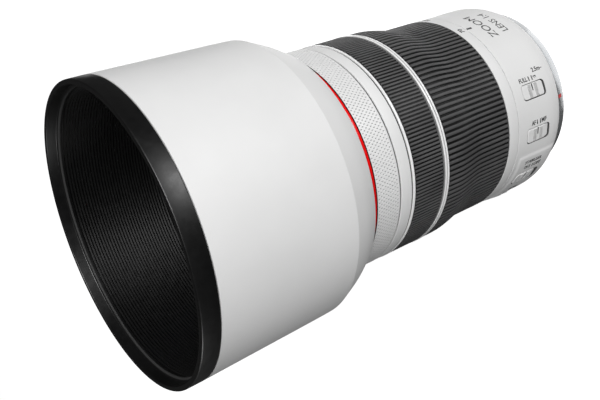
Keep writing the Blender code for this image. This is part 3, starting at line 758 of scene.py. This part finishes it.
def hood_shell_outline():
    """White shell from its bayonet collar over the shoulder to the black rim."""
    bottom, top, radius = span("hood_shell")
    return [
        (42.0, bottom, 0.1),
        (42.5, bottom, 0.15),
        (45.2, 118.0, 0.9),
        (48.3, 123.2, 3.0),
        (51.5, 130.8, 0.25),
        (51.7, 137.0, 4.0),
        (radius, top, 0.12),
        (50.85, top, 0.12),
        (50.85, 133.0, 1.5),
        (49.0, 129.6, 1.0),
        (44.2, 121.2, 0.5),
        (42.0, 120.6, 0.05, 41.0),
        (42.0, 118.4, 0.05, 41.0),
    ]


def make_hood():
    """White shell with its tabs, the black rim and ribbed inside, the lock button."""
    shell = tabbed_mesh("hood_shell_body", hood_shell_outline(), TABS, 40.0, FINE, 6)
    pocket = slab_mesh("button_pocket", 12.4, 5.4, 1.2, (40.5, 55.0), HOOD_BUTTON_ANGLE, BUTTON_Z)
    shell = carve(shell, [pocket], WHITE, FLAT_BLACK)
    finish_piece("hood_shell_body", shell, WHITE, "hood", ("hood_shell",))
    make_hood_liner()
    make_hood_button()


def make_hood_liner():
    """Black rim with a rounded lip, a step inside it, and rings of sharp ribs."""
    bottom, top, radius = span("hood_liner")
    rim = span("hood_shell")[1] + 0.3
    step = top - 4.2
    crest, valley = 49.8, 50.2
    ribs = []
    height = step - 1.2
    while height - HOOD_RIB_PITCH > bottom + 1.0:
        for offset, reach in ((0.0, crest), (0.08, crest), (0.48, valley), (0.60, valley)):
            ribs.append((reach, height - offset * HOOD_RIB_PITCH, 0.0))
        height -= HOOD_RIB_PITCH
    outline = [
        (50.55, rim, 0.0),
        (radius - 0.02, rim, 0.25),
        (radius, top, 0.55),
        (51.0, top, 0.3),
        (50.85, top - 3.9, 0.35),
        (crest, step, 0.3),
        (crest, step - 1.1, 0.0),
        *ribs,
        (crest, bottom, 0.2),
        (50.55, bottom, 0.2),
    ]
    liner = turned_mesh("hood_rim_and_liner", outline, FINE, 4)
    smooth = step - 1.1
    # Painted shade: the valleys between the ribs are marked darker.
    mark_grooves(liner, lambda reach, height: np.where(height < smooth, (reach - crest) * 3.0, 0.0))
    finish_piece("hood_rim_and_liner", liner, BLACK, "hood", ("hood_liner",))
    shelf = (
        (50.84, top - 3.95, 0.1),
        (crest - 0.05, step + 0.06, 0.15),
        (crest - 0.05, step - 0.5, 0.1),
        (crest + 0.3, step - 0.5, 0.0),
        (50.84, top - 4.3, 0.0),
    )
    # Painted highlight: the step ring is a lighter grey than the black rim around it.
    turned("hood_step_ring", shelf, STEP_HIGHLIGHT_GREY, "hood")


def make_hood_button():
    """Lock button with moulded ridges across it."""
    angle = HOOD_BUTTON_ANGLE
    parts = [slab_mesh("button", 11.8, 4.9, 1.0, (45.7, 50.0, 50.3), angle, BUTTON_Z, 0.25)]
    for ridge in range(5):
        height = BUTTON_Z + 0.8 * (ridge - 2)
        parts.append(slab_mesh("ridge", 8.4, 0.42, 0.2, (50.1, 50.42, 50.52), angle, height, 0.1))
    node = "hood_lock_button"
    mesh = joined(node + "_body", parts)
    finish_piece(node + "_body", mesh, WHITE, node, (node,))


# ---- Grips and rings ----


def make_zoom_grip():
    """Rubber with ribs that follow the waist of the ring."""
    low, high, radius = span("zoom_grip")
    waist, front = 39.9, radius + 0.1

    def outer(height):
        return waist + (front - waist) * smooth_step(height, 58.8, 74.0)

    def inner(height):
        return outer(height) - 0.95

    heights = np.concatenate(([low], np.linspace(low + 1.0, high - 1.0, 34), [high]))
    depth = 0.7
    mesh = ribbed_mesh("zoom_grip_ribs", heights, outer, inner, ZOOM_RIBS, depth, 0.35)
    # Painted shade: darker the deeper a point lies in its groove.
    mark_grooves(mesh, lambda radius, height: (outer(height) - radius) / depth * 1.6 - 0.3)
    finish_piece("zoom_grip_ribs", mesh, RUBBER, "zoom_ring", ("zoom_grip",))


def make_focus_grip():
    low, high, radius = span("focus_grip")
    heights = np.linspace(low, high, 6)
    outer, inner, depth = radius + 0.1, 41.0, 0.55
    radii = (lambda height: outer, lambda height: inner)
    mesh = ribbed_mesh("focus_grip_ribs", heights, *radii, FOCUS_RIBS, depth)
    # Painted shade: darker the deeper a point lies in its groove.
    mark_grooves(mesh, lambda radius, height: (outer - radius) / depth * 1.6 - 0.3)
    finish_piece("focus_grip_ribs", mesh, RUBBER, "focus_ring", ("focus_grip",))


def make_bands():
    """White bands, bright trims and the red band."""
    low, high, radius = span("mid_band")
    outline = ((40.3, low, 0), (radius, low, 0.15), (radius, high, 0.25), (40.3, high, 0))
    turned("mid_band_body", outline, WHITE, "barrel", ("mid_band",))
    low, high, radius = span("focus_trim_ring")
    outline = ((38.2, low, 0), (radius + 0.15, low, 0.2), (radius + 0.15, high, 0.2), (38.2, high, 0))
    turned("focus_trim_body", outline, TRIM, "barrel", ("focus_trim_ring",))
    low, high, radius = span("divider_ring")
    middle = (low + high) / 2
    outline = (
        (38.2, low, 0),
        (radius + 0.1, low, 0.25),
        (radius + 0.1, middle - 0.22, 0.1),
        (radius - 0.5, middle - 0.22, 0.0),
        (radius - 0.5, middle + 0.22, 0.0),
        (radius + 0.1, middle + 0.22, 0.1),
        (radius + 0.1, high, 0.25),
        (38.2, high, 0),
    )
    divider = turned_mesh("divider_body", outline)
    # Painted shade: a dark line down in the middle groove.
    mark_grooves(divider, lambda reach, height: (radius - reach) * 4.0)
    finish_piece("divider_body", divider, TRIM, "barrel", ("divider_ring",))
    low, high, radius = span("red_band")
    high += 0.2
    radius += 0.5
    outline = (
        (40.35, low, 0),
        (radius, low, 0.1),
        (radius + 0.1, (low + high) / 2, 1.0),
        (radius, high, 0.1),
        (40.35, high, 0),
    )
    turned("red_band_body", outline, RED, "front_barrel", ("red_band",), FINE, 6)
    make_shade_seams()


def make_shade_seams():
    """Thin black seals deep in the gaps between the white rings: painted shade that darkens the gap
    lines.
    """
    for lower, upper, inner, outer in SHADE_SEAMS:
        low = span(lower)[1] + 0.03
        high = span(upper)[0] - 0.03
        outline = ((inner, low, 0), (outer, low, 0.05), (outer, high, 0.05), (inner, high, 0))
        turned(f"seal_{lower}", outline, FLAT_BLACK, "barrel", (), MEDIUM, 2)


def make_zoom_ring():
    """The ring under the grip, with its white band of focal lengths."""
    low, high, _ = span("zoom_ring")
    grip_low = span("zoom_grip")[0]
    band = 39.85
    outline = (
        (38.15, low, 0),
        (band, low, 0.12),
        (band, grip_low - 0.25, 0.12),
        (38.6, grip_low - 0.1, 0),
        (38.6, 62.0, 0),
        (40.9, 75.5, 0),
        (40.9, high, 0),
        (38.15, high, 0),
    )
    turned("zoom_ring_body", outline, WHITE, "zoom_ring", ("zoom_ring",))
    numbers = Print("focal_lengths", lambda height, angle: band)
    for focal, angle in FOCAL_LENGTHS:
        numbers.text(focal, 2.0, angle, 41.7)
    numbers.piece(INK, "zoom_ring", "black_plastic")


def make_control_ring():
    """White knurled ring: staggered rows of small oval dimples, and a plain rear edge."""
    low, high, radius = span("control_ring")
    cell = (-0.16, -0.10, 0.0, 0.10, 0.16, 0.25)
    columns = range(2 * KNURL_AROUND)
    shares = [(column / 2 + share) / KNURL_AROUND for column in columns for share in cell]
    angles = np.array(shares) * TAU
    field_low, field_high = low + 0.75, high - 0.15
    steps = (0.0, 0.05, 0.14, 0.5, 0.86, 0.95)
    rows = np.array([row + step for row in range(KNURL_ROWS) for step in steps] + [KNURL_ROWS])
    heights = field_low + (field_high - field_low) * rows / KNURL_ROWS
    shift = np.where(np.floor(rows) % 2 == 0, 0.0, 0.5)[:, None]
    across = (np.array(shares) * KNURL_AROUND + shift + 0.5) % 1.0 - 0.5
    along = (rows % 1.0 - 0.5)[:, None]
    dip = np.clip(1.0 - (across / 0.16) ** 2 - (along / 0.45) ** 2, 0.0, 1.0) ** 0.5
    outer = radius + 0.05
    plain = np.zeros((1, len(angles)))
    radii = [plain + outer - 0.2, plain + outer, outer - KNURL_DEPTH * dip]
    radii += [plain + outer - 0.12, plain + 40.35, plain + 40.35]
    levels = [plain + low, plain + low + 0.2, np.repeat(heights[:, None], len(angles), axis=1)]
    levels += [plain + high, plain + high, plain + low]
    mesh = rings_to_mesh("control_ring_knurl", np.vstack(radii), np.vstack(levels), angles)

    # Painted shade: the dimples are darker with their depth.
    def depth(reach, height):
        inside = (height > low + 0.3) & (height < high - 0.1)
        return np.where(inside, (outer - reach) / KNURL_DEPTH, 0.0)

    mark_grooves(mesh, depth)
    node = "control_ring"
    finish_piece(node + "_knurl", mesh, KNURL, node, (node,), 60.0)


# ---- Rear barrel ----


def rear_radius(height, angle):
    """Radius of the rear barrel: a gentle crown, and a raised pad for two switches."""
    stations = (BARREL_FOOT, 13.2, 15.5, 18.0, 21.0, 31.0)
    crown = np.interp(height, stations, (38.0, 38.6, 39.45, 39.85, 39.97, 39.8))
    turn = (angle + 180.0) % 360.0 - 180.0
    side = smooth_step(turn, *PAD_START) * (1 - smooth_step(turn, *PAD_END))
    rise = smooth_step(height, 14.0, 16.5) * (1 - smooth_step(height, 35.6, 37.2))
    return crown + PAD_RISE * side * rise


def make_rear_barrel():
    """White casing with a raised pad, five switch pockets, an index and its print."""
    low, high, _ = span("rear_barrel")
    inner = np.array(((38.15, high), (38.15, 14.3), (28.0, 14.3), (28.0, low)))
    columns = 576
    turns = np.linspace(0.0, 360.0, columns, endpoint=False)
    between = np.arange(low + 0.4, high - 0.3, 0.4)
    heights = np.concatenate(([low, low + 0.12], between, [high - 0.12, high]))
    trims = np.zeros(len(heights))
    trims[0], trims[-1] = 0.15, 0.12
    radii = np.array([rear_radius(height, turns) - trim for height, trim in zip(heights, trims)])
    levels = np.repeat(heights[:, None], columns, axis=1)
    radii = np.vstack([radii, np.repeat(inner[:, 0:1], columns, axis=1)])
    levels = np.vstack([levels, np.repeat(inner[:, 1:2], columns, axis=1)])
    barrel = rings_to_mesh("rear_barrel_body", radii, levels, np.radians(turns))
    cutters = [
        slab_mesh("pocket", *WINDOW, 1.5, (38.95, 44.0), angle, SWITCH_Z)
        for angle in SWITCH_ANGLES.values()
    ]
    # Painted shade: the cut walls of the pockets get the dark grey lining.
    barrel = carve(barrel, cutters, WHITE, POCKET_SHADE_GREY)
    finish_piece("rear_barrel_body", barrel, WHITE, "barrel", ("rear_barrel",))
    floors = []
    for node, angle in SWITCH_ANGLES.items():
        make_switch(node, angle)
        size = (WINDOW[0] - 0.5, WINDOW[1] - 0.5)
        floors.append(slab_mesh("floor", *size, 1.3, (38.97, 39.2, 39.3), angle, SWITCH_Z, 0.1))
    floors = joined("switch_floors", floors)
    finish_piece("switch_floors", floors, WHITE, "barrel")
    make_rear_print()


def make_switch(node, angle):
    """A sliding knob: a white plate, two ribbed grips and a black line between."""
    low, high, _ = span(node)
    middle = (low + high) / 2
    length = high - low
    width = WINDOW[0] - 0.75
    top = float(rear_radius(SWITCH_Z, angle)) + 0.12
    levels = (39.4, top - 0.2, top)
    plate = slab_mesh(node + "_plate", width, length, 1.25, levels, angle, middle, 0.2)
    finish_piece(node + "_plate", plate, WHITE, node, (node,))
    ridges = []
    levels = (top - 0.1, top + 0.22, top + 0.30)
    for side in (-1, 1):
        for ridge in range(4):
            height = middle - 0.35 + side * 1.85 + 0.42 * (ridge - 1.5)
            ridges.append(slab_mesh("ridge", width - 0.5, 0.26, 0.12, levels, angle, height, 0.07))
    grips = joined(node + "_grips", ridges)
    # Painted shade: the ridges are mid grey in place of the shade between them.
    finish_piece(node + "_grips", grips, RIDGE_SHADE_GREY, node)
    levels = (top - 0.1, top + 0.05)
    line = slab_mesh(node + "_line", 2.7, 0.5, 0.1, levels, angle, middle - 0.35)
    shift = direction(angle)
    across = Vector((shift.y, -shift.x, 0.0)) * -1.35
    finish_piece(node + "_line", move(line, across), INK, node)


def make_rear_print():
    """Generic lettering, index and tick marks on the rear barrel."""
    ink = Print("barrel_print", lambda height, angle: float(rear_radius(height, angle)))
    ink.bar(0.0, 37.3, 0.9, 2.8)
    ink.text("ZOOM", 3.9, 0.0, 30.1, width=16.5, weight=0.0)
    ink.text("LENS 1:4", 3.4, 0.0, 23.3, width=14.5, weight=0.0)
    upper, lower = SWITCH_Z + 0.75, SWITCH_Z - 1.05
    for angle, left, right in ((42.2, "FULL", "\u221e"), (67.0, "AF", "MF"), (95.4, "ON", "OFF")):
        ink.bar(angle, upper, 1.8, 0.5)
        ink.bar(angle, lower, 1.8, 0.5)
        ink.text(left, 1.75, angle, upper + 0.8 + 0.62 * len(left), True, 1.15 * len(left))
        ink.text(right, 1.75, angle, lower - 0.9 - 0.62 * len(right), True, 1.25 * len(right) + 0.4)
    ink.text("2.5m\u2013", 1.75, 38.4, 22.2, True, 6.0)
    ink.text("STABILISER", 1.5, 91.6, 27.3, True, 10.0)
    ink.text("MODE", 1.5, 116.8, 27.6, True, 4.6)
    for number, height in (("1", 31.0), ("2", 27.6), ("3", 24.2)):
        ink.text(number, 1.75, 120.4, height, True)
    ink.text("LOCK", 1.75, 263.2, 31.6, True, 4.6)
    ink.bar(263.2, upper, 1.8, 0.5)
    ink.bar(263.2, lower, 1.8, 0.5)
    ink.piece(INK, "barrel", "black_plastic")


# ---- Mount, seen from behind ----


def make_mount():
    """Grey cover ring with its red index, seal, chrome bayonet, screws and contacts."""
    low, high, radius = span("mount_cover_ring")
    outline = (
        (35.5, low, 0),
        (35.85, low, 0.15),
        (radius + 0.05, high, 0.25),
        (34.0, high, 0),
        (34.0, 8.5, 0),
        (35.5, 8.5, 0),
    )
    turned("mount_cover_body", outline, GREY, "barrel", ("mount_cover_ring",))
    slope = 1.9 / (high - low)
    index = Print("mount_index", lambda height, angle: 35.85 + (height - low) * slope, 0.06)
    index.bar(59.0, 10.0, 1.4, 3.0)
    index.piece(RED_INK, "barrel", "red_band")
    low, high, _ = span("mount_seal")
    outline = ((33.5, low, 0.3), (35.2, low, 0.6), (35.2, high, 0.2), (33.5, high, 0.2))
    turned("mount_seal_lip", outline, RUBBER, "barrel", ("mount_seal",), MEDIUM)
    make_bayonet()
    make_contacts()


def make_bayonet():
    """Chrome flange with three tabs and countersunk holes, and four cross-head screws."""
    low, high, radius = span("bayonet_mount")
    outline = (
        (25.9, low, 0.25, 25.9),
        (25.9, 1.2, 0.1, 27.0),
        (25.9, 2.8, 0.1, 27.0),
        (25.9, 5.9, 0.1, 25.9),
        (26.3, 6.0, 0.1, 26.3),
        (radius, 6.0, 0.3, radius),
        (radius, high, 0.1, radius),
        (24.0, high, 0.1, 24.0),
        (24.0, low, 0.3, 24.0),
    )
    flange = tabbed_mesh("bayonet_body", outline, TABS, 40.0, FINE, 3)
    holes = [
        move(rod_mesh("hole", ((1.75, 5.0), (1.75, 9.0)), 48), direction(angle) * SCREW_CIRCLE)
        for angle in SCREW_ANGLES
    ]
    flange = carve(flange, holes, CHROME, CHROME)
    finish_piece("bayonet_body", flange, CHROME, "barrel", ("bayonet_mount",))
    for index, angle in enumerate(SCREW_ANGLES, start=1):
        steps = ((1.05, 6.12), (1.45, 6.3), (1.45, 7.3), (0.8, 7.3), (0.8, 13.6))
        screw = move(rod_mesh("screw", steps, 40), direction(angle) * SCREW_CIRCLE)
        cross = []
        for turn in (0.0, 90.0):
            bar = slab_mesh("cross", 1.9, 0.42, 0.05, (-0.7, 0.7))
            spin = Matrix.Rotation(math.radians(90.0), 3, "X")
            spin = Matrix.Rotation(math.radians(turn + angle), 3, "Z") @ spin
            cross.append(move(bar, direction(angle) * SCREW_CIRCLE + Vector((0, 0, 6.1)), spin))
        screw = carve(screw, cross, STEEL, STEEL)
        node = f"mount_screw_{index}"
        finish_piece(f"mount_screw_head_{index}", screw, STEEL, "barrel", (node,))


def make_contacts():
    """Curved black block with a row of domed gold pins."""
    outline = ((20.6, 1.3, 0.3), (23.6, 1.3, 0.3), (23.6, 5.0, 0.2), (20.6, 5.0, 0.2))
    block = sector_mesh("contact_block_body", outline, 148.0, 212.0, 40)
    finish_piece("contact_block_body", block, BLACK, "barrel", ("contact_block",))
    pins = []
    for pin in range(12):
        angle = 180.0 + (pin - 5.5) * 4.75
        steps = ((0.2, 0.3), (0.45, 0.38), (0.6, 0.6), (0.6, 1.28), (0.75, 1.28), (0.75, 1.36))
        pins.append(move(rod_mesh("pin", steps, 20), direction(angle) * 22.1))
    pins = joined("contact_pins", pins)
    finish_piece("contact_pins", pins, GOLD, "barrel", ("contact_strip",))


def make_rear_optics():
    """Rear cell with a stepped edge round its element."""
    low, high, radius = span("rear_cell")
    outline = (
        (radius, low, 0.3),
        (radius, high, 0.2),
        (16.6, high, 0.2),
        (16.6, 5.4, 0.0),
        (15.2, 5.4, 0.0),
        (15.2, low + 0.4, 0.1),
        (15.8, low + 0.4, 0.05),
        (15.8, low + 0.2, 0.1),
        (16.4, low, 0.1),
    )
    turned("rear_cell_body", outline, FLAT_BLACK, "barrel", ("rear_cell",), MEDIUM)
    glass = dome_mesh("rear_glass", 16.1, (8.0, 13.0), (2.2, 2.0))
    finish_piece("rear_glass", glass, INNER_GLASS, "barrel", ("rear_element",))


# ---- Front barrel, seen from the front and when it is extended ----


def make_front_tube():
    """Extension tube with its flange and cam pins."""
    low, high, radius = span("front_barrel")
    outline = (
        (35.9, low, 0.1),
        (36.9, low, 0.1),
        (36.9, 114.7, 0.1),
        (radius, 114.7, 0.1),
        (radius, high, 0.1),
        (35.9, high, 0.1),
    )
    parts = [turned_mesh("extension_tube", outline)]
    for angle in CAM_PIN_ANGLES:
        spin = direction(angle).to_track_quat("Z", "Y").to_matrix()
        pin = rod_mesh("pin", ((1.3, 34.95), (1.3, 37.5), (1.1, 37.7)))
        parts.append(move(pin, (0, 0, 49.0), spin))
    tube = joined("extension_tube", parts)
    finish_piece("extension_tube", tube, WHITE, "front_barrel", ("front_barrel",))


def make_filter_ring():
    """Black ring with the filter thread inside and the hood lugs outside."""
    low, high, _ = span("filter_ring")
    radius = 40.6
    thread = []
    height = high - 0.9
    while height > 121.4:
        thread += [(38.5, height, 0.0, 38.5), (38.12, height - 0.375, 0.0, 38.12)]
        height -= 0.75
    outline = [
        (radius, low, 0.1, radius),
        (radius, 121.0, 0.05, radius + 1.0),
        (radius, 122.4, 0.05, radius + 1.0),
        (radius, high, 0.4, radius),
        (38.8, high, 0.3, 38.8),
        *thread,
        (38.5, 120.9, 0.0, 38.5),
        (38.5, 120.6, 0.0, 38.5),
        (37.2, 120.6, 0.0, 37.2),
        (37.2, low, 0.0, 37.2),
    ]
    mesh = tabbed_mesh("filter_ring_body", outline, TABS, 40.0, FINE, 3)
    finish_piece("filter_ring_body", mesh, BLACK, "front_barrel", ("filter_ring",))


def make_front_optics():
    """Name ring with generic print, stepped front cell and the coated front glass."""
    low, high, radius = span("name_ring")
    outline = (
        (29.6, low, 0),
        (radius, low, 0.1),
        (radius, high, 0.15),
        (30.4, high, 0.3),
        (29.6, high - 0.5, 0.1),
    )
    turned("name_ring_body", outline, BLACK, "front_barrel", ("name_ring",))
    make_name_print(high)
    low, high, radius = span("front_cell")
    steps = []
    for ring in range(9):
        top = high - 0.9 * ring
        reach = 29.6 + 0.35 * (ring % 2)
        steps += [(reach, top, 0.0), (reach, top - 0.55, 0.0)]
    outline = [(radius, low, 0.2), (radius, high, 0.2), *steps, (29.6, low, 0.1)]
    body = "front_barrel"
    turned("front_cell_body", outline, FLAT_BLACK, body, ("front_cell",), MEDIUM)
    glass = dome_mesh("front_glass_dome", 29.0, (111.0, 116.5), (1.5, 4.0), 144, 14)
    finish_piece("front_glass_dome", glass, FRONT_GLASS, body, ("front_element",))


def make_name_print(height):
    """White lettering laid on the flat name ring, read from the front."""
    mesh_data = bmesh.new()
    for words, middle in (("ZOOM LENS  1:4", 0.0), ("\u00f8 77 mm", 180.0)):
        mesh = text_mesh(words, 2.4, 0.03, spacing=1.15)
        for vertex in mesh.vertices:
            x, y, z = vertex.co
            spoke = direction(middle + math.degrees(x / NAME_CIRCLE))
            vertex.co = lift(spoke * (NAME_CIRCLE + y), height + z) * MM
        mesh_data.from_mesh(mesh)
        bpy.data.meshes.remove(mesh)
    bmesh.ops.remove_doubles(mesh_data, verts=mesh_data.verts, dist=MERGE * MM)
    mesh = mesh_from("name_print", mesh_data)
    finish_piece("name_print", mesh, WHITE_INK, "front_barrel")


def make_inner_optics():
    """Fine glass for the groups that show through the front element."""
    for node, body in (("variator_element", "variator"), ("stabiliser_element", "stabiliser_carriage")):
        low, high, radius = span(node)
        sag = (high - low) * 0.2
        glass = dome_mesh(node + "_glass", radius, (low + sag, high - sag), (sag, sag))
        finish_piece(node + "_glass", glass, INNER_GLASS, body, (node,))


def make_sleeves():
    """Fixed guide sleeve with its straight slots and the slot of the zoom key."""
    low, high, radius = span("guide_barrel")
    outline = (
        (37.2, low, 0.1),
        (37.8, low, 0.1),
        (37.8, 98.4, 0.0),
        (radius, 98.4, 0.1),
        (radius, high, 0.2),
        (37.2, high, 0.1),
    )
    sleeve = turned_mesh("guide_sleeve", outline)
    length = 57.4
    cutters = [
        slab_mesh("slot", 3.4, length, 1.6, (36.0, 38.1), angle, 47.3 + length / 2)
        for angle in CAM_PIN_ANGLES
    ]
    key_slot = ((36.0, 40.5, 0), (39.0, 40.5, 0), (39.0, 44.5, 0), (36.0, 44.5, 0))
    cutters.append(sector_mesh("key_slot", key_slot, 194.0, 281.0))
    sleeve = carve(sleeve, cutters, ALUMINIUM, ALUMINIUM)
    finish_piece("guide_sleeve", sleeve, ALUMINIUM, "barrel", ("guide_barrel",))


def make_lens():
    dress_cad_nodes()
    make_hood()
    make_zoom_grip()
    make_focus_grip()
    make_bands()
    make_zoom_ring()
    make_control_ring()
    make_rear_barrel()
    make_mount()
    make_rear_optics()
    make_front_tube()
    make_filter_ring()
    make_front_optics()
    make_inner_optics()
    make_sleeves()


# ---- Floor, light and camera ----


def make_floor():
    """A plain pale floor that runs past every edge of the view.

    It is a lit table: lamps shine through it, and it throws no light back on the lens.
    """
    mesh = bpy.data.meshes.new("floor")
    reach = 30.0
    corners = [(x * reach, y * reach, 0.0) for x, y in ((-1, -1), (1, -1), (1, 1), (-1, 1))]
    mesh.from_pydata(corners, [], [(0, 1, 2, 3)])
    floor = bpy.data.objects.new("floor", mesh)
    bpy.context.scene.collection.objects.link(floor)
    floor.visible_diffuse = False
    floor.visible_glossy = False
    floor.visible_shadow = False
    paper = Nodes("floor_paper", (0.85, 0.85, 0.85), 0.9)
    paper.vary_colour(paper.noise(3.0), (0.845, 0.845, 0.845), (0.855, 0.855, 0.855))
    paper.set("Emission Color", (1.0, 1.0, 1.0, 1.0))
    paper.set("Emission Strength", 0.92)
    mesh.materials.append(paper.material)


def area_light(name, angle, height, distance, size, power):
    """A soft box aimed at the lens: its angle round the barrel, its height above it, in degrees."""
    light = bpy.data.lights.new(name, "AREA")
    light.shape = "RECTANGLE"
    light.size, light.size_y = size
    light.energy = power
    lamp = bpy.data.objects.new(name, light)
    bpy.context.scene.collection.objects.link(lamp)
    rise = math.radians(height)
    away = direction(angle) * math.cos(rise) + Vector((0.0, 0.0, math.sin(rise)))
    lamp.location = Vector((0.0, 0.0, 0.10)) + away * distance
    lamp.rotation_euler = away.to_track_quat("Z", "Y").to_euler()


def make_lights():
    """Soft boxes: a key over the switch side, one below it, fills, and one over the mouth."""
    area_light("key", 24.0, 30.0, 1.3, (0.6, 0.6), 13.8)
    area_light("low_key", 22.0, -25.0, 1.3, (0.45, 0.35), 4.4)
    area_light("under_strip", -75.0, -84.0, 1.3, (0.7, 0.7), 2.6)
    area_light("under_fill", 138.0, 10.0, 1.3, (0.5, 0.5), 3.8)
    area_light("top_fill", -85.0, -50.0, 1.3, (0.9, 0.9), 2.6)
    area_light("back_fill", 235.0, -35.0, 1.3, (0.9, 0.9), 4.5)
    area_light("mouth", 41.0, 61.0, 1.3, (0.3, 0.3), 0.6)
    world = bpy.data.worlds.new("studio")
    world.use_nodes = True
    world.node_tree.nodes["Background"].inputs["Color"].default_value = (1.0, 1.0, 1.0, 1.0)
    world.node_tree.nodes["Background"].inputs["Strength"].default_value = 0.05
    bpy.context.scene.world = world


def set_tone():
    """Plain tone mapping, so that white paint stays white and red stays red."""
    bpy.context.scene.view_settings.view_transform = "Standard"


def make_camera():
    """The view from the front, above the barrel, rolled so that the lens lies across."""
    data = bpy.data.cameras.new("camera")
    data.sensor_width = 36.0
    data.lens = 48.0
    data.clip_start = 0.01
    camera = bpy.data.objects.new("camera", data)
    bpy.context.scene.collection.objects.link(camera)
    right = Vector((0.6012, 0.1117, -0.7913)).normalized()
    back = Vector((0.5647, 0.6413, 0.5195))
    back = (back - right * back.dot(right)).normalized()
    up = back.cross(right)
    turn = Matrix((right, up, back)).transposed().to_4x4()
    camera.matrix_world = Matrix.Translation((0.17366, 0.18120, 0.27216)) @ turn
    bpy.context.scene.camera = camera


make_lens()
make_floor()
make_lights()
make_camera()
set_tone()
